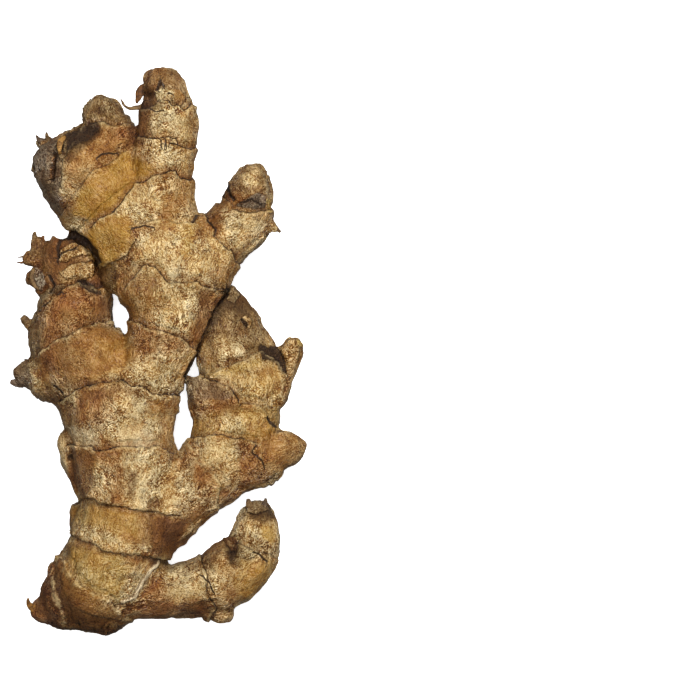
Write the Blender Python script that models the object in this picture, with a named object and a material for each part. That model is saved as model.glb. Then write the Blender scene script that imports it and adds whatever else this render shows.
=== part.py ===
"""A galangal rhizome, freshly dug and washed, lying on its side: one solid, in metres, +Z up.

Its plan is read in millimetres, X to the right and Y up the root, with Z the height above the
surface that it lies on. Each limb is a chain of stations. The limbs are joined to one body, rounded
where they grow out of each other, and then the swollen internodes, ring scars and lumps are raised.
"""

import bmesh
import bpy
import numpy as np
from mathutils import Vector, noise

MM = 0.001
VOXEL = 0.9
SAMPLE_STEP = 1.0
SIDES = 28
FACE_BUDGET = 11300

SKIN_COLOUR = (0.40, 0.25, 0.11, 1.0)
SKIN_ROUGHNESS = 0.55

# A limb's end is rounded by this share of its half width there.
END_ROUND = 0.62

# Name, fillet where the limb starts, fillet at its far end, and stations of
# (x, y, z, half width, half depth) from its start to its far end.
LIMBS = (
    ("trunk", 3.0, 5.0, (
        (-23.0, -84.3, 13.2, 10.2, 8.2),
        (-20.9, -76.0, 12.0, 13.7, 12.6),
        (-15.6, -66.0, 15.0, 15.0, 14.0),
        (-11.8, -58.0, 16.2, 15.2, 14.4),
        (-9.6, -50.0, 16.6, 15.2, 14.2),
        (-9.4, -43.0, 16.8, 14.4, 13.6),
        (-10.0, -35.0, 17.0, 15.4, 13.8),
        (-11.0, -25.0, 17.0, 15.8, 13.8),
        (-11.6, -16.4, 17.0, 17.4, 13.8),
        (-9.0, -5.0, 17.2, 14.8, 13.0),
    )),
    ("base_corner", 3.0, 2.0, (
        (-16.0, -65.0, 13.5, 10.5, 10.5),
        (-22.4, -70.2, 12.6, 11.8, 11.0),
        (-28.3, -75.2, 11.8, 9.0, 8.4),
        (-33.8, -78.0, 11.2, 5.0, 4.8),
        (-39.2, -78.2, 11.0, 2.2, 2.2),
    )),
    ("middle_limb", 3.0, 5.0, (
        (-5.4, -14.0, 17.2, 10.8, 12.6),
        (-1.2, -4.0, 17.6, 10.4, 12.2),
        (1.9, 5.0, 18.0, 11.5, 12.2),
        (3.4, 12.0, 18.2, 13.4, 12.6),
        (3.4, 19.0, 18.2, 16.6, 13.0),
        (4.2, 27.0, 18.0, 18.2, 13.2),
        (1.5, 36.0, 17.6, 13.5, 12.0),
    )),
    ("middle_limb_shoulder", 2.0, 1.0, (
        (-6.0, 22.5, 17.0, 8.0, 10.0),
        (-11.5, 21.6, 15.2, 5.0, 7.0),
        (-15.6, 21.2, 13.8, 3.2, 5.4),
    )),
    ("broad_lobe", 5.0, 1.5, (
        (-1.0, 27.0, 17.4, 13.5, 12.6),
        (-7.0, 36.0, 16.4, 14.4, 13.2),
        (-13.2, 44.2, 13.0, 15.4, 13.6),
        (-19.8, 51.4, 14.6, 15.6, 13.0),
        (-25.7, 57.0, 15.2, 13.5, 11.4),
        (-30.4, 60.8, 15.6, 11.0, 8.8),
        (-32.4, 63.2, 15.8, 7.6, 7.0),
    )),
    ("blunt_stub", 3.0, 1.0, (
        (-13.0, 57.0, 16.4, 9.0, 8.6),
        (-15.2, 66.5, 17.4, 8.0, 7.4),
        (-15.9, 71.0, 18.0, 7.4, 6.2),
        (-15.1, 74.0, 18.4, 5.6, 5.4),
        (-14.2, 76.3, 18.6, 3.9, 4.4),
    )),
    ("top_finger", 3.5, 1.0, (
        (2.5, 27.0, 18.0, 10.5, 10.0),
        (2.1, 38.0, 18.6, 10.0, 9.4),
        (1.6, 48.0, 19.2, 9.4, 9.2),
        (1.7, 57.0, 19.8, 8.9, 8.8),
        (2.7, 64.0, 20.2, 9.2, 8.6),
        (2.8, 71.0, 20.4, 8.8, 8.2),
        (2.4, 76.5, 20.4, 7.3, 7.0),
        (1.4, 80.8, 20.4, 6.2, 6.1),
        (1.3, 84.6, 20.4, 4.6, 4.8),
    )),
    ("upper_right_finger", 2.6, 1.0, (
        (3.0, 26.0, 17.4, 12.0, 11.6),
        (13.0, 29.5, 17.0, 11.2, 10.2),
        (19.6, 34.2, 16.0, 9.4, 9.0),
        (25.0, 39.0, 15.0, 9.2, 8.4),
        (27.0, 44.4, 14.4, 7.2, 8.0),
        (28.0, 49.4, 14.2, 6.8, 7.2),
        (28.4, 53.2, 14.2, 5.0, 5.8),
        (28.2, 56.6, 14.2, 3.2, 4.0),
    )),
    ("thorn_scale", 1.5, 0.5, (
        (29.5, 40.0, 14.6, 4.2, 4.0),
        (33.0, 37.8, 14.8, 2.2, 2.2),
        (35.7, 36.2, 15.0, 0.9, 0.9),
    )),
    ("finger_shoulder", 1.5, 0.6, (
        (25.0, 45.6, 14.4, 5.0, 5.6),
        (21.0, 48.6, 14.8, 2.4, 3.6),
    )),
    ("lobe_nub", 1.0, 0.4, (
        (-32.0, 60.6, 15.0, 3.4, 4.2),
        (-35.2, 62.6, 15.2, 1.6, 2.0),
        (-36.4, 63.4, 15.2, 0.9, 1.1),
    )),
    ("left_limb", 2.6, 0.6, (
        (-13.0, -14.0, 16.6, 13.5, 12.4),
        (-20.5, -5.0, 16.0, 14.2, 12.6),
        (-25.4, 3.6, 15.0, 13.6, 12.0),
        (-25.4, 11.0, 14.0, 11.8, 11.0),
        (-25.2, 17.0, 13.0, 10.4, 9.8),
        (-26.8, 23.5, 12.0, 9.6, 9.0),
        (-28.8, 29.0, 11.0, 8.3, 8.0),
        (-30.4, 34.4, 10.4, 6.4, 6.6),
    )),
    ("left_spur", 3.0, 1.0, (
        (-27.0, -5.0, 14.6, 10.4, 8.8),
        (-34.0, -7.0, 14.0, 7.9, 7.4),
        (-39.2, -6.8, 13.6, 5.2, 5.0),
        (-43.8, -7.6, 13.4, 2.6, 2.8),
    )),
    ("left_nub", 1.0, 0.6, (
        (-35.0, 5.0, 14.4, 2.1, 2.2),
        (-38.4, 7.8, 15.0, 1.4, 1.6),
        (-39.9, 9.2, 15.2, 1.2, 1.3),
        (-40.4, 10.0, 15.2, 1.0, 1.1),
    )),
    ("dried_bud_left", 1.2, 0.6, (
        (-31.0, 23.0, 12.0, 5.0, 4.6),
        (-36.2, 22.0, 12.6, 3.4, 3.4),
        (-40.7, 21.8, 13.0, 1.9, 2.0),
    )),
    ("dried_bud_low", 1.2, 0.6, (
        (-31.0, 21.5, 13.0, 4.0, 4.0),
        (-34.2, 19.6, 14.4, 2.8, 3.0),
        (-36.4, 17.0, 14.6, 1.7, 1.8),
    )),
    ("dried_tip_flap", 1.2, 0.6, (
        (-33.0, 27.5, 11.0, 5.0, 4.4),
        (-35.8, 30.4, 12.4, 2.8, 2.2),
        (-36.4, 34.3, 13.4, 1.7, 1.1),
    )),
    ("dried_tip_side", 1.2, 0.6, (
        (-33.0, 27.3, 12.0, 4.4, 4.0),
        (-38.2, 27.9, 13.2, 2.6, 2.4),
        (-41.4, 27.0, 13.6, 1.1, 0.9),
    )),
    ("trunk_bulge", 1.6, 0.8, (
        (-26.0, -23.4, 15.0, 1.8, 3.8),
        (-27.0, -27.0, 15.0, 3.6, 5.4),
        (-26.5, -33.0, 15.0, 3.0, 5.2),
        (-24.6, -39.4, 15.0, 1.8, 4.2),
        (-23.0, -43.6, 14.6, 1.4, 3.0),
    )),
    ("trunk_edge_scale", 1.2, 0.8, (
        (-24.2, -45.4, 14.0, 2.0, 3.0),
        (-24.4, -50.0, 14.0, 2.4, 4.0),
        (-24.2, -54.5, 14.0, 1.6, 3.0),
    )),
    ("right_limb", 3.5, 0.5, (
        (-3.0, -51.0, 15.4, 13.0, 11.6),
        (7.0, -43.6, 14.4, 10.3, 11.0),
        (15.8, -36.0, 13.4, 11.3, 11.0),
        (21.9, -27.0, 12.8, 12.9, 11.4),
        (24.0, -17.5, 10.8, 12.3, 11.4),
        (24.8, -9.0, 11.8, 12.6, 10.8),
        (23.4, -1.0, 11.4, 12.3, 9.8),
        (22.0, 6.0, 10.8, 9.9, 8.6),
        (21.4, 11.8, 10.6, 7.7, 7.4),
        (21.6, 15.0, 10.6, 4.9, 5.6),
        (21.8, 18.4, 10.4, 1.7, 3.0),
    )),
    ("right_limb_collar", 1.5, 0.8, (
        (15.9, -21.0, 12.6, 6.5, 6.6),
        (14.4, -14.0, 13.6, 5.4, 6.4),
        (13.4, -9.8, 14.4, 4.8, 5.6),
        (13.2, -7.6, 14.6, 4.3, 5.0),
    )),
    ("cone_bud", 3.5, 0.8, (
        (24.0, -31.2, 13.2, 11.2, 9.8),
        (31.0, -31.8, 13.0, 9.0, 8.2),
        (36.0, -30.0, 12.8, 6.2, 6.2),
        (40.4, -29.7, 12.6, 5.0, 4.8),
        (44.2, -30.0, 12.4, 3.3, 3.2),
    )),
    ("side_finger", 2.0, 0.8, (
        (33.0, -14.5, 12.4, 6.0, 6.2),
        (36.0, -8.5, 12.6, 4.4, 4.8),
        (38.4, -3.4, 13.0, 3.9, 4.0),
        (39.9, 0.6, 13.4, 3.6, 3.4),
        (40.2, 4.0, 13.6, 2.6, 2.7),
    )),
    ("side_finger_web", 1.5, 0.8, (
        (30.0, -5.0, 12.0, 4.4, 5.0),
        (34.8, -1.8, 12.6, 2.6, 3.2),
        (38.4, 0.4, 13.2, 2.4, 2.6),
    )),
    ("bottom_finger", 2.6, 0.8, (
        (-14.0, -71.5, 13.6, 9.4, 10.0),
        (-4.0, -72.0, 13.2, 8.7, 9.4),
        (6.0, -71.7, 12.6, 8.0, 8.8),
        (14.6, -70.5, 12.0, 8.9, 9.2),
        (22.2, -66.4, 11.8, 10.0, 9.2),
        (27.4, -60.8, 12.0, 9.0, 8.2),
        (29.2, -54.0, 12.4, 7.2, 7.0),
        (29.8, -48.8, 12.8, 5.2, 5.4),
        (30.1, -45.5, 13.0, 3.4, 3.8),
    )),
    ("bottom_finger_scale", 1.5, 0.6, (
        (15.0, -73.0, 12.6, 5.0, 6.0),
        (17.2, -77.4, 12.2, 4.4, 4.0),
        (17.5, -81.2, 11.6, 4.4, 2.2),
    )),
)

# Ring scars: height of the step, the side that it falls to (1 is up or right of the line as it is
# drawn from left to right, -1 the other), and the points of its line on the upper side.
RINGS = (
    (0.6, 1, ((-5.0, 73.0), (-1.0, 73.6), (2.0, 75.2), (5.0, 74.8), (10.2, 72.3))),
    (0.6, 1, ((-7.4, 64.4), (0.0, 63.3), (5.5, 63.0), (12.2, 60.4))),
    (0.7, 1, ((-20.0, 38.0), (-14.0, 41.2), (-9.5, 46.0), (-5.0, 51.4), (3.5, 53.6), (11.6, 51.0))),
    (0.6, 1, ((-29.5, 40.5), (-24.0, 48.6), (-18.0, 54.6), (-8.5, 60.4))),
    (0.5, 1, ((-36.0, 46.0), (-29.5, 50.0), (-28.5, 57.5), (-24.0, 66.4))),
    (0.5, 1, ((-23.6, 67.6), (-17.0, 69.5), (-8.6, 68.4))),
    (0.6, 1, ((13.4, 41.4), (17.0, 36.8), (20.6, 30.2), (24.0, 25.2))),
    (0.5, 1, ((19.0, 47.6), (25.4, 45.0), (34.6, 42.6))),
    (0.8, 1, ((-10.0, 19.4), (-5.4, 25.2), (-1.0, 25.2), (3.0, 20.5), (12.0, 20.6), (20.8, 18.2))),
    (0.7, 1, ((-9.8, 7.6), (1.0, 6.3), (5.6, 4.8), (12.6, 0.8))),
    (0.6, 1, ((-38.8, -3.0), (-31.2, 3.1), (-21.1, 7.9), (-11.6, 9.4))),
    (0.6, 1, ((-35.2, 13.0), (-29.0, 18.4), (-24.0, 20.6), (-16.0, 18.0))),
    (0.8, 1, ((-29.0, -14.6), (-21.0, -10.0), (-10.0, -8.9), (-4.0, -10.2), (5.5, -12.8))),
    (0.7, 1, ((-26.8, -28.4), (-20.0, -28.9), (-8.0, -28.7), (5.4, -29.4))),
    (0.8, -1, ((-24.6, -44.4), (-15.0, -46.0), (-5.0, -47.4), (5.6, -49.6))),
    (0.8, -1, ((-27.0, -55.6), (-18.0, -59.6), (-9.0, -60.6), (3.6, -62.6))),
    (0.6, 1, ((-31.5, -65.0), (-25.0, -69.0), (-18.0, -74.0), (-10.0, -77.6), (-4.0, -80.4))),
    (0.6, 1, ((10.0, -8.0), (16.0, -8.6), (22.2, -13.4), (24.3, -16.0))),
    (0.7, 1, ((7.2, -28.0), (15.0, -25.6), (20.0, -25.8), (25.0, -26.4), (29.6, -27.6))),
    (0.6, 1, ((14.6, -6.4), (17.9, -5.1), (26.4, -2.1), (31.5, 0.2), (38.4, -7.0))),
    (0.6, 1, ((10.0, -30.0), (15.0, -35.0), (18.5, -41.0), (18.0, -47.6))),
    (0.6, 1, ((12.4, -60.6), (16.4, -69.0), (17.6, -76.4), (15.6, -81.4))),
    (0.5, 1, ((21.6, -56.6), (27.6, -59.6), (35.4, -62.0))),
)

# Round scars where roots and side shoots broke off: (x, y, radius, 1 on the upper side or 0 below).
SCARS = (
    (0.0, -45.0, 2.3, 1.0),
    (-17.0, -38.0, 4.6, 0.0),
    (3.0, 11.0, 4.2, 0.0),
    (20.5, -34.0, 3.6, 0.0),
    (-24.0, 5.0, 3.4, 0.0),
    (-10.5, -11.0, 3.0, 0.0),
    (0.0, 58.0, 2.6, 0.0),
    (11.0, -70.5, 3.0, 0.0),
)
SCAR_RIM = 0.5
SCAR_SINK = 0.9

# How far a ring's swelling and its groove reach along the limb, and the groove's share of the step.
SWELL_REACH = 4.2
GROOVE_REACH = 1.6
GROOVE_SHARE = 0.7
# The drop from a sheath's edge into its groove takes this distance.
DROP_WIDTH = 0.9
# Past a ring line's ends the ring fades over this distance.
RING_FADE = 2.2
# The underside's ring lines bow the other way by this share of their length.
UNDERSIDE_BOW = 0.10

LUMP_SIZE = 13.0
LUMP_HEIGHT = 0.9
DIMPLE_SIZE = 4.5
DIMPLE_HEIGHT = 0.5

# The root's lowest points are cut level here, in millimetres, so it rests on three flat spots.
FLOOR_CUT = 0.0


class Limb:
    """One limb: its centre line sampled evenly, with half width, half depth and a frame."""

    def __init__(self, name, foot_fillet, end_fillet, stations):
        self.name = name
        self.fillets = (foot_fillet, end_fillet)
        rows = smooth_rows(np.array(stations))
        self.centres = rows[:, :3]
        self.widths = rows[:, 3]
        self.depths = rows[:, 4]
        steps = np.linalg.norm(np.diff(self.centres, axis=0), axis=1)
        self.places = np.concatenate(([0.0], np.cumsum(steps)))
        tangents = np.gradient(self.centres, axis=0)
        self.tangents = tangents / np.linalg.norm(tangents, axis=1)[:, None]
        sides = np.cross((0.0, 0.0, 1.0), self.tangents)
        self.sides = sides / np.linalg.norm(sides, axis=1)[:, None]
        self.ups = np.cross(self.tangents, self.sides)


def smooth_rows(stations):
    """A Catmull-Rom curve through the stations, with a row about every SAMPLE_STEP."""
    padded = np.vstack((2 * stations[0] - stations[1], stations, 2 * stations[-1] - stations[-2]))
    rows = []
    for before, start, end, after in zip(padded, padded[1:], padded[2:], padded[3:]):
        count = max(2, round(np.linalg.norm((end - start)[:3]) / SAMPLE_STEP))
        for share in np.arange(count) / count:
            linear = (end - before) * share
            square = (2 * before - 5 * start + 4 * end - after) * share ** 2
            cube = (3 * start - before - 3 * end + after) * share ** 3
            rows.append(start + 0.5 * (linear + square + cube))
    rows.append(stations[-1])
    return np.array(rows)


def limb_distance(limb, points):
    """Each point's distance from the limb's skin, its share of the way along, and its height
    above the limb's centre line as a share of the half depth."""
    squares = np.sum(limb.centres ** 2, axis=1)[None, :] - 2.0 * points @ limb.centres.T
    nearest = np.argmin(squares, axis=1)
    length = limb.places[-1]
    offset = points - limb.centres[nearest]
    raw_place = limb.places[nearest] + np.sum(offset * limb.tangents[nearest], axis=1)
    place = np.clip(raw_place, 0.0, length)
    centre = np.stack([np.interp(place, limb.places, limb.centres[:, k]) for k in range(3)], axis=1)
    width = np.interp(place, limb.places, limb.widths)
    depth = np.interp(place, limb.places, limb.depths)
    radius = points - centre
    across = np.sum(radius * limb.sides[nearest], axis=1)
    height = np.sum(radius * limb.ups[nearest], axis=1)
    share = np.sqrt((across / width) ** 2 + (height / depth) ** 2) + 1e-6
    skin = np.sqrt(across ** 2 + height ** 2) * (1.0 - 1.0 / share)
    skin = np.where(share < 0.2, -np.minimum(width, depth), skin)
    past_end = np.maximum(raw_place - length, -raw_place)
    rounding = END_ROUND * np.minimum(width, depth)
    outer = np.maximum(skin + rounding, 0.0)
    beyond = np.maximum(past_end + rounding, 0.0)
    inner = np.minimum(np.maximum(skin, past_end) + rounding, 0.0)
    distance = inner + np.sqrt(outer ** 2 + beyond ** 2) - rounding
    return distance, place / length, height / depth


def smooth_union(first, second, fillet):
    """The nearer of two distances, rounded where they are within a fillet of each other."""
    mix = np.clip(0.5 + 0.5 * (second - first) / fillet, 0.0, 1.0)
    return second * (1.0 - mix) + first * mix - fillet * mix * (1.0 - mix)


def body_distance(limbs, points):
    """Distance from the skin of the whole root, with the limbs rounded into each other."""
    total = np.full(len(points), 1000.0)
    for limb in limbs:
        reach = max(limb.widths.max(), limb.depths.max()) + 8.0
        low = limb.centres.min(axis=0) - reach
        high = limb.centres.max(axis=0) + reach
        near = np.all((points > low) & (points < high), axis=1)
        distance, along, _ = limb_distance(limb, points[near])
        fillet = limb.fillets[0] * (1.0 - along) + limb.fillets[1] * along
        total[near] = smooth_union(total[near], distance, fillet)
    return total


def body_slope(limbs, points):
    """The distance and the outward direction at each point, from four samples round it."""
    corners = np.array(((1, 1, 1), (1, -1, -1), (-1, 1, -1), (-1, -1, 1)), dtype=float)
    spacing = 0.04
    values = [body_distance(limbs, points + spacing * corner) for corner in corners]
    slope = sum(value[:, None] * corner for value, corner in zip(values, corners)) / (4 * spacing)
    return np.mean(values, axis=0), slope


def settle(limbs, points, rounds):
    """Move points onto the skin along its slope, a millimetre at most each time."""
    for _ in range(rounds):
        distance, slope = body_slope(limbs, points)
        size = np.sum(slope ** 2, axis=1) + 1e-9
        move = -distance / np.maximum(size, 0.3)
        points = points + slope * np.clip(move, -1.0, 1.0)[:, None]
    _, slope = body_slope(limbs, points)
    return points, slope / (np.linalg.norm(slope, axis=1)[:, None] + 1e-9)


def line_distance(points, line, side):
    """Signed plan distance from a line, positive on the side it falls to, and the distance past
    the line's ends."""
    best = np.full(len(points), 1e9)
    signed = np.zeros(len(points))
    past = np.zeros(len(points))
    line = np.array(line)
    for index, (start, end) in enumerate(zip(line, line[1:])):
        along = end - start
        length = np.linalg.norm(along)
        along = along / length
        offset = points - start
        raw = offset @ along
        share = np.clip(raw, 0.0, length)
        gap = offset - share[:, None] * along
        distance = np.linalg.norm(gap, axis=1)
        cross = along[0] * offset[:, 1] - along[1] * offset[:, 0]
        before = np.where(index == 0, -raw, 0.0)
        after = np.where(index == len(line) - 2, raw - length, 0.0)
        closer = distance < best
        best = np.where(closer, distance, best)
        signed = np.where(closer, side * np.sign(cross) * distance, signed)
        past = np.where(closer, np.maximum(np.maximum(before, after), 0.0), past)
    return signed, past


def ring_profile(distance, height):
    """A sheath swells towards its edge, drops at it, and leaves a groove beyond."""
    swelling = height * np.exp(-np.abs(distance) / SWELL_REACH)
    groove = -GROOVE_SHARE * height * np.exp(-np.abs(distance) / GROOVE_REACH)
    beyond = np.clip(0.5 + distance / DROP_WIDTH, 0.0, 1.0)
    return swelling * (1.0 - beyond) + groove * beyond


def underside_line(line):
    """The ring's way round below: between the same ends, bowed the other way."""
    start = np.array(line[0])
    end = np.array(line[-1])
    chord = end - start
    bow = UNDERSIDE_BOW * np.array((chord[1], -chord[0]))
    shares = np.linspace(0.0, 1.0, 5)
    return [start + share * chord + 4.0 * share * (1.0 - share) * bow for share in shares]


def ring_relief(points, upper):
    """Height that all rings add at each point, where upper is 1 on top and 0 below."""
    relief = np.zeros(len(points))
    for height, side, line in RINGS:
        for part, share in ((line, upper), (underside_line(line), 1.0 - upper)):
            distance, past = line_distance(points[:, :2], part, side)
            fade = np.clip(1.0 - past / RING_FADE, 0.0, 1.0)
            relief += share * fade * ring_profile(distance, height)
    return relief


def scar_relief(points, upper):
    """A dished disc in a low rim at each scar."""
    relief = np.zeros(len(points))
    for x, y, radius, above in SCARS:
        share = upper if above else 1.0 - upper
        reach = np.hypot(points[:, 0] - x, points[:, 1] - y) / radius
        rim = SCAR_RIM * np.exp(-((reach - 1.1) / 0.22) ** 2)
        dish = -SCAR_SINK * np.exp(-(reach / 0.75) ** 4)
        relief += share * (rim + dish)
    return relief


def upper_share(limbs, points):
    """1 on the upper half of the nearest limb, 0 on its lower half, and blended between."""
    best = np.full(len(points), 1e9)
    height = np.zeros(len(points))
    for limb in limbs:
        distance, _, above = limb_distance(limb, points)
        height = np.where(distance < best, above, height)
        best = np.minimum(best, distance)
    share = np.clip(0.5 + height / 0.6, 0.0, 1.0)
    return share * share * (3.0 - 2.0 * share)


def lumps(points):
    """Uneven growth: broad lumps and finer dimples."""
    heights = []
    for point in points:
        broad = noise.noise(Vector(point) / LUMP_SIZE)
        fine = noise.noise(Vector(point) / DIMPLE_SIZE + Vector((7.0, 3.0, 5.0)))
        heights.append(LUMP_HEIGHT * broad + DIMPLE_HEIGHT * fine)
    return np.array(heights)


def tube(mesh, limb):
    """Loft one limb as a closed tube."""
    angles = np.linspace(0.0, 2.0 * np.pi, SIDES, endpoint=False)
    rings = []
    for centre, width, depth, side, up in zip(
            limb.centres, limb.widths, limb.depths, limb.sides, limb.ups):
        corners = [centre + width * np.cos(a) * side + depth * np.sin(a) * up for a in angles]
        rings.append([mesh.verts.new(Vector(corner) * MM) for corner in corners])
    for lower, upper in zip(rings, rings[1:]):
        for k in range(SIDES):
            following = (k + 1) % SIDES
            mesh.faces.new((lower[k], lower[following], upper[following], upper[k]))
    mesh.faces.new(tuple(reversed(rings[0])))
    mesh.faces.new(rings[-1])


def add_modifier(body, kind, **values):
    """Add a modifier and apply it."""
    modifier = body.modifiers.new(kind.title(), kind)
    for name, value in values.items():
        setattr(modifier, name, value)
    graph = bpy.context.evaluated_depsgraph_get()
    mesh = bpy.data.meshes.new_from_object(body.evaluated_get(graph))
    body.modifiers.clear()
    old_mesh = body.data
    body.data = mesh
    bpy.data.meshes.remove(old_mesh)


def vertex_array(body):
    """The body's vertices in millimetres."""
    places = np.empty(3 * len(body.data.vertices))
    body.data.vertices.foreach_get("co", places)
    return places.reshape(-1, 3) / MM


def set_vertices(body, points):
    body.data.vertices.foreach_set("co", (points * MM).ravel())
    body.data.update()


def keep_largest_shell(body):
    """Drop any scrap that the joining left inside or beside the root."""
    mesh = bmesh.new()
    mesh.from_mesh(body.data)
    left = set(mesh.verts)
    shells = []
    while left:
        shell = {left.pop()}
        edge_of_shell = list(shell)
        while edge_of_shell:
            vertex = edge_of_shell.pop()
            for edge in vertex.link_edges:
                other = edge.other_vert(vertex)
                if other in left:
                    left.remove(other)
                    shell.add(other)
                    edge_of_shell.append(other)
        shells.append(shell)
    shells.sort(key=len)
    for shell in shells[:-1]:
        bmesh.ops.delete(mesh, geom=list(shell), context="VERTS")
    mesh.to_mesh(body.data)
    mesh.free()


def level_feet(body):
    """Cut the lowest points level, so the root rests on flat spots."""
    mesh = bmesh.new()
    mesh.from_mesh(body.data)
    geometry = mesh.verts[:] + mesh.edges[:] + mesh.faces[:]
    cut = bmesh.ops.bisect_plane(
        mesh, geom=geometry, dist=1e-6, plane_co=(0.0, 0.0, FLOOR_CUT * MM),
        plane_no=(0.0, 0.0, -1.0), clear_outer=True)
    rim = [item for item in cut["geom_cut"] if isinstance(item, bmesh.types.BMEdge)]
    bmesh.ops.edgenet_fill(mesh, edges=rim)
    bmesh.ops.triangulate(mesh, faces=mesh.faces[:])
    bmesh.ops.recalc_face_normals(mesh, faces=mesh.faces[:])
    mesh.to_mesh(body.data)
    mesh.free()


def centre_on_floor(body):
    """Put the origin at the middle of the plan's box, on the surface that the root lies on."""
    points = vertex_array(body)
    middle = (points.min(axis=0) + points.max(axis=0)) / 2.0
    middle[2] = points[:, 2].min()
    set_vertices(body, points - middle)


def skin_material():
    material = bpy.data.materials.new("skin")
    material.use_nodes = True
    shader = material.node_tree.nodes["Principled BSDF"]
    shader.inputs["Base Color"].default_value = SKIN_COLOUR
    shader.inputs["Roughness"].default_value = SKIN_ROUGHNESS
    shader.inputs["Metallic"].default_value = 0.0
    return material


def build_rhizome():
    limbs = [Limb(*row) for row in LIMBS]
    mesh = bmesh.new()
    for limb in limbs:
        tube(mesh, limb)
    data = bpy.data.meshes.new("rhizome")
    mesh.to_mesh(data)
    mesh.free()
    body = bpy.data.objects.new("rhizome", data)
    bpy.context.scene.collection.objects.link(body)
    add_modifier(body, "REMESH", mode="VOXEL", voxel_size=VOXEL * MM)
    keep_largest_shell(body)
    points, outward = settle(limbs, vertex_array(body), 5)
    upper = upper_share(limbs, points)
    relief = ring_relief(points, upper) + scar_relief(points, upper) + lumps(points)
    set_vertices(body, points + relief[:, None] * outward)
    faces = 2 * len(body.data.polygons)
    add_modifier(body, "DECIMATE", ratio=FACE_BUDGET / faces, use_collapse_triangulate=True)
    level_feet(body)
    centre_on_floor(body)
    body.data.materials.append(skin_material())
    body.data.shade_smooth()


for thing in list(bpy.data.objects):
    bpy.data.objects.remove(thing, do_unlink=True)
build_rhizome()
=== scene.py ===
"""Looks for a galangal rhizome: its crinkled, ringed skin, torn scales and dried tips, seen from above.

The plan is read in millimetres, X to the right and Y up the root, as in the solid's own source, and
the finished skin is set on the frame's box. Rings, tears and stains are lines and outlines in plan,
and the tables give them as x, y, x, y and so on. A noise call's last number picks its pattern.
"""

import itertools

import bmesh
import bpy
import numpy as np
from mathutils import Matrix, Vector, noise


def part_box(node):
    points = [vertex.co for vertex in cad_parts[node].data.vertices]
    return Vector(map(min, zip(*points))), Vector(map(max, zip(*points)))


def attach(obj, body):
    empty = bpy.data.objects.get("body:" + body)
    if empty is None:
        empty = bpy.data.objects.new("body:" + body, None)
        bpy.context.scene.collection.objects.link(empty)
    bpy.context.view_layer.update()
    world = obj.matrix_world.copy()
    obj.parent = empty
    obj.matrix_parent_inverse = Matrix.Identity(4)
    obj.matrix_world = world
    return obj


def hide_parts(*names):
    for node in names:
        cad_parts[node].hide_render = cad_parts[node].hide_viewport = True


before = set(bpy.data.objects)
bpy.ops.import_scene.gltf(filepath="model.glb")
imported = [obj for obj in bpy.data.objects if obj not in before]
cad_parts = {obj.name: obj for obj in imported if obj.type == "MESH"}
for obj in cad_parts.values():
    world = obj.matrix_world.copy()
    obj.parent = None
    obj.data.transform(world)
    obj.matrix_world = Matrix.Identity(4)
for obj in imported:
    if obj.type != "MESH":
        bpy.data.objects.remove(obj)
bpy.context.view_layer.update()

MM = 0.001
VOXEL = 0.66
SAMPLE_STEP = 1.0
SIDES = 28

# A limb's end is rounded by this share of its half width there.
END_ROUND = 0.62

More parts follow.
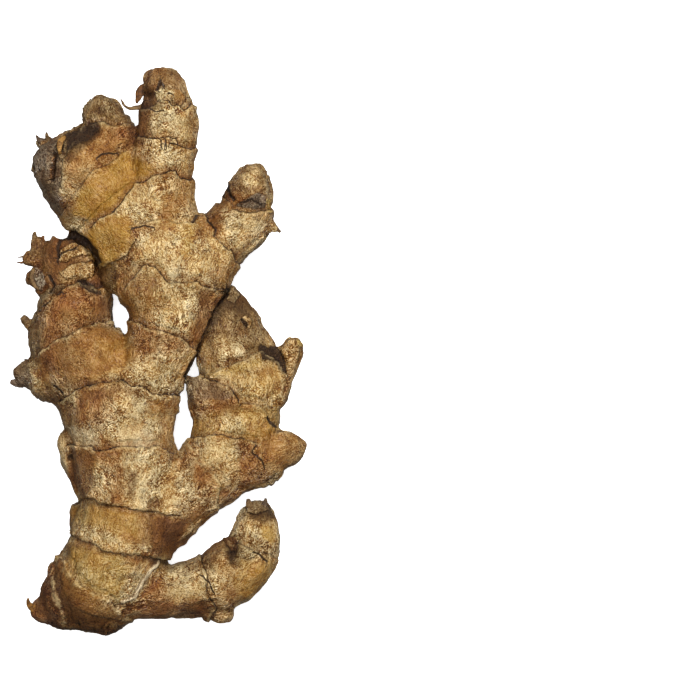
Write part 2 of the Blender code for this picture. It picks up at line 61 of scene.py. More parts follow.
# Name, fillet where the limb starts, fillet at its far end, and stations of
# (x, y, z, half width, half depth) from its start to its far end.
LIMBS = (
    ("trunk", 3, 5, (
        (-23, -84.3, 13.2, 10.2, 8.2), (-20.9, -76, 12, 13.7, 12.6), (-15.6, -66, 15, 15, 14),
        (-11.8, -58, 16.2, 15.2, 14.4), (-9.6, -50, 16.6, 15.2, 14.2), (-9.4, -43, 16.8, 14.4, 13.6),
        (-10, -35, 17, 15.4, 13.8), (-11, -25, 17, 15.8, 13.8), (-11.6, -16.4, 17, 17.4, 13.8),
        (-9, -5, 17.2, 14.8, 13),
    )),
    ("base_corner", 3, 2, (
        (-16, -65, 13.5, 10.5, 10.5), (-22.4, -70.2, 12.6, 11.8, 11), (-28.3, -75.2, 11.8, 9, 8.4),
        (-33.8, -78, 11.2, 5, 4.8), (-39.2, -78.2, 11, 2.2, 2.2),
    )),
    ("middle_limb", 3, 5, (
        (-5.4, -14, 17.2, 10.8, 12.6), (-1.2, -4, 17.6, 10.4, 12.2), (1.9, 5, 18, 11.5, 12.2),
        (3.4, 12, 18.2, 13.4, 12.6), (3.4, 19, 18.2, 16.6, 13), (4.2, 27, 18, 18.2, 13.2),
        (1.5, 36, 17.6, 13.5, 12),
    )),
    ("middle_limb_shoulder", 2, 1, (
        (-6, 22.5, 17, 8, 10), (-11.5, 21.6, 15.2, 5, 7), (-15.6, 21.2, 13.8, 3.2, 5.4),
    )),
    ("broad_lobe", 5, 1.5, (
        (-1, 27, 17.4, 13.5, 12.6), (-7, 36, 16.4, 14.4, 13.2), (-13.2, 44.2, 13, 15.4, 13.6),
        (-19.8, 51.4, 14.6, 15.6, 13), (-25.7, 57, 15.2, 13.5, 11.4), (-30.4, 60.8, 15.6, 11, 8.8),
        (-32.4, 63.2, 15.8, 7.6, 7),
    )),
    ("blunt_stub", 3, 1, (
        (-13, 57, 16.4, 9, 8.6), (-15.2, 66.5, 17.4, 8, 7.4), (-15.9, 71, 18, 7.4, 6.2),
        (-15.1, 74, 18.4, 5.6, 5.4), (-14.2, 76.3, 18.6, 3.9, 4.4),
    )),
    ("top_finger", 3.5, 1, (
        (2.5, 27, 18, 10.5, 10), (2.1, 38, 18.6, 10, 9.4), (1.6, 48, 19.2, 9.4, 9.2),
        (1.7, 57, 19.8, 8.9, 8.8), (2.7, 64, 20.2, 9.2, 8.6), (2.8, 71, 20.4, 8.8, 8.2),
        (2.4, 76.5, 20.4, 7.3, 7), (1.4, 80.8, 20.4, 6.2, 6.1), (1.3, 84.6, 20.4, 4.6, 4.8),
    )),
    ("upper_right_finger", 2.6, 1, (
        (3, 26, 17.4, 12, 11.6), (13, 29.5, 17, 11.2, 10.2), (19.6, 34.2, 16, 9.4, 9),
        (25, 39, 15, 9.2, 8.4), (27, 44.4, 14.4, 7.2, 8), (28, 49.4, 14.2, 6.8, 7.2),
        (28.4, 53.2, 14.2, 5, 5.8), (28.2, 56.6, 14.2, 3.2, 4),
    )),
    ("thorn_scale", 1.5, 0.5, (
        (29.5, 40, 14.6, 4.2, 4), (33, 37.8, 14.8, 2.2, 2.2), (35.7, 36.2, 15, 0.9, 0.9),
    )),
    ("finger_shoulder", 1.5, 0.6, (
        (25, 45.6, 14.4, 5, 5.6), (21, 48.6, 14.8, 2.4, 3.6),
    )),
    ("lobe_nub", 1, 0.4, (
        (-32, 60.6, 15, 3.4, 4.2), (-35.2, 62.6, 15.2, 1.6, 2), (-36.4, 63.4, 15.2, 0.9, 1.1),
    )),
    ("left_limb", 2.6, 0.6, (
        (-13, -14, 16.6, 13.5, 12.4), (-20.5, -5, 16, 14.2, 12.6), (-25.4, 3.6, 15, 13.6, 12),
        (-25.4, 11, 14, 11.8, 11), (-25.2, 17, 13, 10.4, 9.8), (-26.8, 23.5, 12, 9.6, 9),
        (-28.8, 29, 11, 8.3, 8), (-30.4, 34.4, 10.4, 6.4, 6.6),
    )),
    ("left_spur", 3, 1, (
        (-27, -5, 14.6, 10.4, 8.8), (-34, -7, 14, 7.9, 7.4), (-39.2, -6.8, 13.6, 5.2, 5),
        (-43.8, -7.6, 13.4, 2.6, 2.8),
    )),
    ("left_nub", 1, 0.6, (
        (-35, 5, 14.4, 2.1, 2.2), (-38.4, 7.8, 15, 1.4, 1.6), (-39.9, 9.2, 15.2, 1.2, 1.3),
        (-40.4, 10, 15.2, 1, 1.1),
    )),
    ("dried_bud_left", 1.2, 0.6, (
        (-31, 23, 12, 5, 4.6), (-36.2, 22, 12.6, 3.4, 3.4), (-40.7, 21.8, 13, 1.9, 2),
    )),
    ("dried_bud_low", 1.2, 0.6, (
        (-31, 21.5, 13, 4, 4), (-34.2, 19.6, 14.4, 2.8, 3), (-36.4, 17, 14.6, 1.7, 1.8),
    )),
    ("dried_tip_flap", 1.2, 0.6, (
        (-33, 27.5, 11, 5, 4.4), (-35.8, 30.4, 12.4, 2.8, 2.2), (-36.4, 34.3, 13.4, 1.7, 1.1),
    )),
    ("dried_tip_side", 1.2, 0.6, (
        (-33, 27.3, 12, 4.4, 4), (-38.2, 27.9, 13.2, 2.6, 2.4), (-41.4, 27, 13.6, 1.1, 0.9),
    )),
    ("trunk_bulge", 1.6, 0.8, (
        (-26, -23.4, 15, 1.8, 3.8), (-27, -27, 15, 3.6, 5.4), (-26.5, -33, 15, 3, 5.2),
        (-24.6, -39.4, 15, 1.8, 4.2), (-23, -43.6, 14.6, 1.4, 3),
    )),
    ("trunk_edge_scale", 1.2, 0.8, (
        (-24.2, -45.4, 14, 2, 3), (-24.4, -50, 14, 2.4, 4), (-24.2, -54.5, 14, 1.6, 3),
    )),
    ("right_limb", 3.5, 0.5, (
        (-3, -51, 15.4, 13, 11.6), (7, -43.6, 14.4, 10.3, 11), (15.8, -36, 13.4, 11.3, 11),
        (21.9, -27, 12.8, 12.9, 11.4), (24, -17.5, 10.8, 12.3, 11.4), (24.8, -9, 11.8, 12.6, 10.8),
        (23.4, -1, 11.4, 12.3, 9.8), (22, 6, 10.8, 9.9, 8.6), (21.4, 11.8, 10.6, 7.7, 7.4),
        (21.6, 15, 10.6, 4.9, 5.6), (21.8, 18.4, 10.4, 1.7, 3),
    )),
    ("right_limb_collar", 1.5, 0.8, (
        (15.9, -21, 12.6, 6.5, 6.6), (14.4, -14, 13.6, 5.4, 6.4), (13.4, -9.8, 14.4, 4.8, 5.6),
        (13.2, -7.6, 14.6, 4.3, 5),
    )),
    ("cone_bud", 3.5, 0.8, (
        (24, -31.2, 13.2, 11.2, 9.8), (31, -31.8, 13, 9, 8.2), (36, -30, 12.8, 6.2, 6.2),
        (40.4, -29.7, 12.6, 5, 4.8), (44.2, -30, 12.4, 3.3, 3.2),
    )),
    ("side_finger", 2, 0.8, (
        (33, -14.5, 12.4, 6, 6.2), (36, -8.5, 12.6, 4.4, 4.8), (38.4, -3.4, 13, 3.9, 4),
        (39.9, 0.6, 13.4, 3.6, 3.4), (40.2, 4, 13.6, 2.6, 2.7),
    )),
    ("side_finger_web", 1.5, 0.8, (
        (30, -5, 12, 4.4, 5), (34.8, -1.8, 12.6, 2.6, 3.2), (38.4, 0.4, 13.2, 2.4, 2.6),
    )),
    ("bottom_finger", 2.6, 0.8, (
        (-14, -71.5, 13.6, 9.4, 10), (-4, -72, 13.2, 8.7, 9.4), (6, -71.7, 12.6, 8, 8.8),
        (14.6, -70.5, 12, 8.9, 9.2), (22.2, -66.4, 11.8, 10, 9.2), (27.4, -60.8, 12, 9, 8.2),
        (29.2, -54, 12.4, 7.2, 7), (29.8, -48.8, 12.8, 5.2, 5.4), (30.1, -45.5, 13, 3.4, 3.8),
    )),
    ("bottom_finger_scale", 1.5, 0.6, (
        (15, -73, 12.6, 5, 6), (17.2, -77.4, 12.2, 4.4, 4), (17.5, -81.2, 11.6, 4.4, 2.2),
    )),
)

# Ring scars: height of the step, the side that it falls to (1 is up or right of the line as it is
# drawn from left to right, -1 the other), how dark its crack is, how pale its lip, and its line.
RINGS = (
    (0.6, 1, 0.9, 0.3, (-5.4, 72.6, -1, 73.4, 0.7, 75.1, 2.9, 75.1, 4.2, 74, 6, 74.7, 7.8, 72.9,
        9.8, 74.6, 11.4, 73.4)),
    (0.5, 1, 1, 0.3, (-6.9, 64.4, -1.5, 63.7, 3, 64.2, 5.1, 63.8, 5.8, 61.7, 9.5, 60.6, 12.2, 60.8)),
    (0.7, 1, 1, 0.9, (-20.2, 37.4, -17.6, 39.6, -14.2, 41, -9.2, 47, -6.1, 50.1, -1.9, 52.9, 0.3, 52.7,
        3.1, 53.8, 4.7, 53.7, 6.7, 52, 9.3, 51.6, 11.6, 52.7)),
    (0.5, 1, 0.35, 0.2, (-29.5, 40.5, -26.1, 46.7, -20.5, 53.4, -14.8, 56.4, -8.1, 61.3)),
    (0.4, 1, 0.3, 0.2, (-36, 46, -29.5, 50, -28.5, 57.5, -24, 66.4)),
    (0.5, 1, 0.7, 0.4, (-23.6, 67.6, -17, 69.5, -13.6, 67.6, -8, 68.2)),
    (0.6, 1, 0.9, 0.5, (13.4, 41.2, 17, 36.9, 16.8, 34.4, 18.8, 32.5, 22.5, 29.6, 23.2, 27, 24.4, 25.2)),
    # A fold rather than a ring scar: its pale lip is a painted highlight on the crest and its faint dark
    # line painted shade under it.
    (0.5, 1, 0.25, 0.7, (-8, 37.6, -3.6, 38.8, 1.2, 40, 5.6, 38.9, 10.2, 38.6)),
    (0.5, 1, 0.7, 0.4, (19, 47.6, 22.7, 42.4, 26, 41.4, 31.9, 41.9, 34.8, 42.6)),
    (0.5, -1, 0.6, 0.7, (-21, 26.2, -16.7, 25.2, -12.1, 27.3, -9.6, 29, -7.6, 32.6)),
    (0.7, 1, 0.9, 0.6, (-10, 18.5, -7, 22, -5.2, 25.5, -3.5, 25.9, -0.8, 24.4, 1.3, 21.5, 3.1, 20.2,
        6.2, 20.7, 11.9, 21.1, 14.1, 19.3, 18.9, 17.6, 20.9, 18.6)),
    (0.7, 1, 0.75, 0.7, (-9.8, 9.2, -6.1, 8.6, -3.9, 7.5, -0.8, 6.4, 4.4, 5, 7.1, 3.9, 9.3, 1.7,
        12, 0.2)),
    (0.6, 1, 0.6, 1, (-38.8, -3, -33.4, 1.3, -31.2, 3.1, -25.9, 5.5, -21.1, 7.9, -14, 9.2, -11.6, 9.4)),
    (0.6, 1, 0.8, 0.5, (-36, 11.6, -32.5, 14.9, -27.2, 19.6, -24, 21, -16, 18)),
    (0.8, 1, 1, 0.4, (-29.4, -15, -24.4, -12, -21.4, -10.5, -16.9, -9.5, -11.2, -8.8, -8, -10.5,
        -5, -10.3, -2, -13, 5.5, -13.3)),
    (0.7, 1, 0.9, 0.5, (-26.8, -28.4, -19.9, -28.7, -19.2, -30.2, -12.4, -28.9, 0, -28.9, 2, -29.9,
        6, -32.2)),
    (0.8, -1, 0.7, 0.7, (-25, -44.6, -19.4, -44.3, -17.4, -45.8, -9, -46.8, -2, -48.3, 5.6, -49)),
    (0.8, -1, 0.6, 0.9, (-27.4, -52.6, -25.4, -55.5, -20.4, -57.3, -17.4, -59.5, -7.5, -60.8, 4, -62.4)),
    (0.6, 1, 0.35, 0.6, (-31.2, -60.8, -28.2, -63, -25.8, -67, -22.6, -70.2, -14, -75.1, -11.9, -77.7,
        -8, -80.6)),
    (0.6, 1, 0.3, 0.9, (-31.8, -64, -31.2, -71.3, -29.3, -76.1, -27.7, -81.6)),
    (0.6, 1, 1, 0.3, (8.4, -7.8, 12.4, -7.8, 17.9, -9.1, 21.9, -11.5, 24.3, -16)),
    (0.4, 1, 0.45, 0.3, (23.9, -15.6, 29.2, -15.8, 31.9, -18, 32.8, -20.6, 35.2, -22.9)),
    (0.7, 1, 0.8, 0.8, (7.2, -26.4, 14.9, -24.9, 20.4, -25.9, 24.9, -26.2, 29.6, -27.6)),
    (0.6, 1, 0.3, 0.5, (14.6, -6.4, 17.9, -5.1, 26.4, -2.1, 31.5, 0.2, 36, -3, 38.4, -7)),
    (0.6, 1, 0.25, 0.9, (9.6, -28, 11.4, -32.4, 16.9, -37.4, 18.4, -39.9, 17.9, -47.6)),
    (0.6, 1, 0.8, 0.7, (12.4, -60.6, 14.6, -68, 14.9, -73.5, 17.3, -77.7, 15, -81.6)),
    (0.5, 1, 0.6, 0.4, (21.6, -56.6, 27.6, -59.6, 35.4, -62)),
)

# Tears and cracks of the upper side, and painted shadows in a seam and under an overhang: depth, half
# width, and their line.
TEARS = (
    (1, 0.5, (-0.5, 78.4, 0.3, 81, 1.8, 79.4)),
    (0.4, 0.25, (2.6, 77.6, 4.4, 77)),
    (0.3, 0.25, (-2.4, 72.6, -0.4, 71.8, 1.6, 72.4)),
    (0.4, 0.25, (0.7, 63.4, 0.9, 60.9)),
    (0.4, 0.25, (2, 63.8, 2.4, 61)),
    (0.4, 0.3, (3.4, 62.4, 5.4, 62.1)),
    (0.5, 0.35, (-18.6, 58.2, -16.4, 59.5, -13.8, 59.3, -12.4, 59.6)),
    (1, 0.7, (-31.2, 59.6, -31.9, 55, -32.2, 51.2)),
    (0.6, 0.45, (-28.6, 62.6, -28.9, 59.4)),
    (0.6, 0.5, (14.8, 39.1, 17.2, 36.7)),
    (0.7, 0.6, (20.9, 49.6, 21.2, 47.2, 22.8, 45.4)),
    (0.4, 0.3, (-31.7, -10.1, -28.6, -12.8)),
    (0.5, 0.35, (28.3, -60.1, 30.5, -61.1, 32.6, -63.3)),
    (0.5, 0.3, (29.1, -28, 27.8, -30.2, 31, -32.7, 31.8, -35.2)),
    # A painted shadow where the middle limb lies over the right limb, along a real groove.
    (1.3, 0.7, (20.9, 18.2, 17.6, 13.6, 14.6, 7.6, 12.6, 2.6, 11.2, -1.2, 9.9, -4, 8.4, -7.5,
        7.9, -10.8)),
    # A painted shadow under the broad lobe's overhang, along a real groove.
    (1.8, 1.3, (-30, 35.2, -25.5, 34.9, -22.6, 33, -19.6, 29.8, -17.9, 26.4)),
    (0.8, 0.6, (-28.6, 34.4, -30.2, 31.2, -29.9, 28)),
    (0.8, 0.5, (-33, 22.8, -31.4, 19.8, -32.6, 17.6)),
    (0.5, 0.35, (-36.6, 12, -33, 15, -28.8, 17.8)),
    (0.7, 0.6, (32.4, -19.8, 33.4, -21.6, 35, -22.6)),
    (0.6, 0.4, (35.8, 0.9, 37.8, -3.6, 38.3, -6.4)),
    (0.6, 0.6, (10.2, 38.6, 11.4, 40.6)),
    (0.3, 0.3, (-8.4, 36.6, -4.3, 37.6, -1.5, 37.1)),
    (0.4, 0.35, (24.6, 44.6, 28.2, 45.6, 31, 44.2)),
    (0.4, 0.3, (12.6, -67, 15.2, -69.4, 16.6, -72.6)),
    (1, 0.6, (25.2, 9.9, 26, 8.9, 26.9, 8)),
    (0.5, 0.4, (-30.4, 27, -28.6, 29.4, -24.8, 30.6)),
)

# Dark hollows of the upper side, pressed in: depth, softness, and their outline.
HOLLOWS = (
    (1.4, 1, (-4.3, 78.4, -2, 77.8, -2.2, 75.6, -4.6, 75.6)),
    (1, 1.2, (24.4, 43.8, 31, 46.6, 31.4, 42.6, 29.6, 42.4)),
    (1.4, 1.4, (19.8, -57, 23.2, -56.2, 23.4, -62.4, 20.6, -62.8)),
    (0.9, 1, (-24.4, 21.6, -22, 21.4, -17.4, 18.6, -17.4, 17.2, -20.5, 18.2, -23.5, 19.9)),
    (1, 1.2, (15.4, -74.4, 17.8, -77.6, 15.6, -79.4, 12.4, -78, 11.8, -75.6)),
)

# Scars where roots and side shoots broke off: (x, y, radius, 1 on the upper side or 0 below).
SCARS = (
    (0, -45, 2.3, 1),
    (-17, -38, 4.6, 0),
    (3, 11, 4.2, 0),
    (20.5, -34, 3.6, 0),
    (-24, 5, 3.4, 0),
    (-10.5, -11, 3, 0),
    (0, 58, 2.6, 0),
    (11, -70.5, 3, 0),
)

# Each tone's colour, and how crinkled the skin is there, from 0 for smooth to 1.
TONES = {
    "tan": ((0.35, 0.195, 0.058), 0.8),
    "light": ((0.47, 0.320, 0.132), 1.0),
    "pale": ((0.52, 0.395, 0.220), 0.3),
    # Cream is partly pale dry skin and partly a painted highlight.
    "cream_and_highlight": ((0.57, 0.430, 0.225), 0.6),
    "chalk": ((0.64, 0.52, 0.34), 0.3),
    "ash": ((0.24, 0.185, 0.130), 0.9),
    "golden": ((0.36, 0.222, 0.045), 0.2),
    "honey": ((0.30, 0.160, 0.016), 0.1),
    "ochre": ((0.26, 0.128, 0.028), 0.35),
    "rust": ((0.235, 0.098, 0.026), 0.9),
    "brown": ((0.150, 0.064, 0.017), 0.6),
    "drab": ((0.195, 0.122, 0.052), 0.85),
    "grey": ((0.150, 0.104, 0.066), 0.8),
    # Dark is also used for painted shadow and shade in some stains and scales.
    "dark": ((0.040, 0.020, 0.008), 0.7),
}

# Thin torn scales that lie on the upper side, with sharp edges: tone, height, and their outline.
SCALES = (
    ("rust", -0.5, (-31, 60.2, -30.4, 58, -31.2, 51.4, -32.8, 51.4, -32.2, 58)),
    ("golden", 0.2, (32, 46.2, 33.8, 45.6, 33.8, 41.4, 32.2, 41.6)),
    # Dark in this hollow: painted shade.
    ("dark", -0.6, (-24.6, 22, -22.4, 22.2, -17.5, 18.5, -16.9, 16.6, -20.5, 17.8, -23.5, 19.6)),
    ("ash", 0.5, (-38.4, 24.4, -36.6, 25.6, -34.6, 23.6, -33.8, 20.2, -35, 18.2, -37.2, 19.4)),
    ("tan", 0.5, (-29.4, 30.4, -25.6, 32.2, -21.4, 30.2, -20.6, 28.2, -24.2, 28.6, -27.8, 26.8,
        -29.8, 26.6)),
    ("tan", 0.5, (-29.4, 23.4, -26.8, 25.8, -23, 26.4, -19.8, 26.2, -19.6, 22.8, -22.2, 21.4, -24.6, 22.6,
        -27.6, 21.4)),
    ("drab", 0.4, (-37, 12.8, -32.4, 16.4, -28.2, 19.2, -27.6, 20.4, -31.6, 19.4, -37.6, 15.6)),
    ("grey", 0.4, (-37.6, 57.8, -34.6, 62.4, -32.6, 61.2, -33.4, 56.6, -36.4, 52.8)),
    ("drab", 0.4, (-31.2, 66.6, -27.8, 69.4, -24.4, 69.8, -23.8, 67.6, -27.4, 65.6)),
    ("dark", 0.4, (-28.4, 65.2, -24, 66.6, -19, 69.2, -17.4, 67.2, -21, 63.6, -25.2, 61.6, -27.4, 58.8)),
    ("drab", 0.4, (-28.8, 63.2, -27.2, 63, -26.4, 60, -29.2, 57, -30, 59.6)),
    ("tan", 0.3, (26, 10.8, 28.2, 9.2, 27.4, 7, 26, 6.8, 27.2, 8.4, 25, 10)),
    ("drab", 0.4, (20.8, 18.4, 22.8, 18.6, 24.2, 16.4, 22.6, 14.4, 20.8, 15.2)),
    ("dark", 0.3, (30.2, 2, 35.4, 1.4, 38.2, -5.6, 37.2, -6.4, 34.8, -2.6, 31, -2.6)),
    ("tan", 0.4, (36.2, 0.8, 40.6, 4.2, 42.2, -0.6, 40.6, -6.6, 39.2, -8, 38, -4)),
    ("drab", 0.4, (26.6, -45.2, 31.6, -44.2, 33.4, -47.4, 30, -48.6, 26.6, -48.4)),
    ("brown", 0.4, (19.2, -56, 22.4, -55.4, 23.4, -58, 22.8, -59.6, 21, -58.8)),
    ("light", 0.4, (24.4, -60.4, 28.6, -58.2, 30.4, -60.2, 26.6, -62.8)),
    ("tan", 0.35, (-22, -44.1, -18.9, -40.1, -16.4, -42.4, -14.3, -41.8, -13.6, -46, -17.4, -45.6,
        -19.2, -44.2)),
    ("tan", 0.5, (14.9, -72, 19.8, -73.6, 23.4, -77.7, 22.6, -81.4, 15.5, -83.2, 17.4, -77.7)),
    ("golden", 0.15, (41.4, 6, 44.6, 5, 43.8, 1.2, 41.6, 2)),
    ("dark", -0.8, (-27.6, -31.2, -26, -30.6, -25.8, -32.4, -27.2, -32.8)),
    ("light", 0.45, (-1.2, 79, -0.2, 77.8, 1, 79.2, 2.2, 78.4, 4.2, 78.8, 4.6, 75.6, 1.8, 74,
        -0.6, 75.2)),
    ("chalk", 0.3, (1.1, -63.4, -1.8, -66.1, -3.5, -68.8, -5.7, -71.5, -6.6, -74, -11.3, -75.8,
        -11.3, -75, -7.3, -73.5, -6.3, -71.1, -4.2, -68.3, -2.6, -65.6, 0.4, -62.9)),
    ("ochre", 0.4, (4.4, 78.8, 6.4, 78.6, 8.2, 75.6, 6.6, 73.8, 4.6, 74.6)),
    ("grey", 0.45, (22.8, 43.6, 26.2, 45.4, 29.6, 48, 32.2, 46.6, 31.6, 42.8, 27.6, 43.2)),
)

# Dried shards and fibres that stand off the skin: name, tone, half thickness, whether heights are
# above the skin there or above the ground, and stations of (x, y, height, half width).
SHARDS = (
    ("hook_fibre", "drab", 0.28, False, (
        (-4.6, 73, 20.6, 0.9), (-6.6, 72.7, 20.8, 0.7), (-8.2, 72.4, 21.2, 0.45), (-9.7, 73.1, 21.8, 0.4),
        (-10.5, 74.4, 22.4, 0.3), (-10.9, 75.2, 22.6, 0.15))),
    ("tip_flake", "brown", 0.25, False, (
        (-2.6, 79.8, 20.6, 0.6), (-4.2, 78.6, 21, 1.3), (-5.2, 77, 21.2, 1.4), (-5.8, 75.4, 21.2, 0.9),
        (-6.3, 74, 21, 0.3))),
    ("left_fibre_low", "brown", 0.22, False, (
        (-36.8, 27.8, 13.4, 0.8), (-39.4, 27.2, 13.8, 0.55), (-41.4, 26.6, 14, 0.35),
        (-42.9, 26.9, 14.2, 0.12))),
    ("left_fibre_high", "drab", 0.2, False, (
        (-37.4, 29, 13.6, 0.7), (-39.8, 28.6, 14, 0.4), (-42.4, 28.2, 14.4, 0.12))),
    ("left_crown_tall", "drab", 0.3, False, (
        (-35.6, 31.6, 13, 1.3), (-36.9, 33.2, 13.8, 1.1), (-37.5, 34.6, 14.2, 0.8),
        (-37.2, 36, 14.4, 0.3))),
    ("left_crown_low", "brown", 0.3, False, (
        (-34.6, 31.6, 13, 1.2), (-35.3, 33.2, 13.8, 0.9), (-34.7, 34.8, 14.2, 0.3))),
    ("lobe_shard", "grey", 0.35, False, (
        (-32.6, 61.6, 15.6, 1.5), (-34.8, 62.8, 16.4, 1.1), (-36, 63.8, 17, 0.7),
        (-36.7, 64.7, 17.2, 0.3))),
    ("lobe_splinter", "drab", 0.25, False, (
        (-32, 62.8, 16.2, 1), (-33.4, 64.2, 17, 0.7), (-33.3, 65.6, 17.4, 0.25))),
    ("lobe_flap", "tan", 0.22, True, (
        (-27.2, 64, -0.3, 0.5), (-28.2, 62.4, 0.5, 0.9), (-28.6, 60.6, 0.8, 0.8), (-28.4, 58.4, 0.2, 0.4))),
    ("left_twig", "drab", 1.15, False, (
        (-35, 4.8, 14.4, 1.6), (-37.4, 6.6, 14.8, 1.3), (-39, 8.2, 15.2, 1.2), (-40.2, 9.6, 15.4, 1.25),
        (-41, 10.4, 15.4, 0.8))),
    ("spur_bract", "grey", 0.4, False, (
        (-40.8, -9.4, 14, 1.6), (-43.2, -9.4, 14.4, 1.2), (-44.6, -9, 14.6, 0.6))),
    ("bud_curl", "drab", 0.3, True, (
        (-37.6, 25, 0, 0.5), (-38, 22.6, 0.5, 0.7), (-37.4, 20.4, 0.5, 0.7), (-36, 18.4, -0.1, 0.4))),
    ("base_shard", "ochre", 0.35, False, (
        (-35.4, -78.6, 13, 1.6), (-37.8, -77.4, 13.8, 1.2), (-39.2, -75.8, 14.4, 0.8),
        (-39.4, -74.2, 14.6, 0.3))),
    ("bottom_tip_shard", "drab", 0.35, False, (
        (28.2, -48, 15.8, 1.6), (27.2, -45.8, 16.4, 1.1), (26.8, -44.2, 16.6, 0.5))),
    ("bottom_tip_splinter", "grey", 0.3, False, (
        (31, -47.4, 15.6, 1.3), (32, -45.4, 16, 0.8), (32.2, -44, 16.2, 0.3))),
    ("thorn_point", "drab", 0.4, False, (
        (33.4, 38.2, 15, 1.2), (35.4, 36.8, 15.2, 0.8), (36.6, 35.8, 15.2, 0.3))),
    ("cone_husk", "drab", 0.35, False, (
        (32.6, -25.6, 17.2, 1.2), (35.6, -24.4, 16, 0.9), (38.4, -24.6, 14.6, 0.4))),
)
SHARD_SIDES = 10
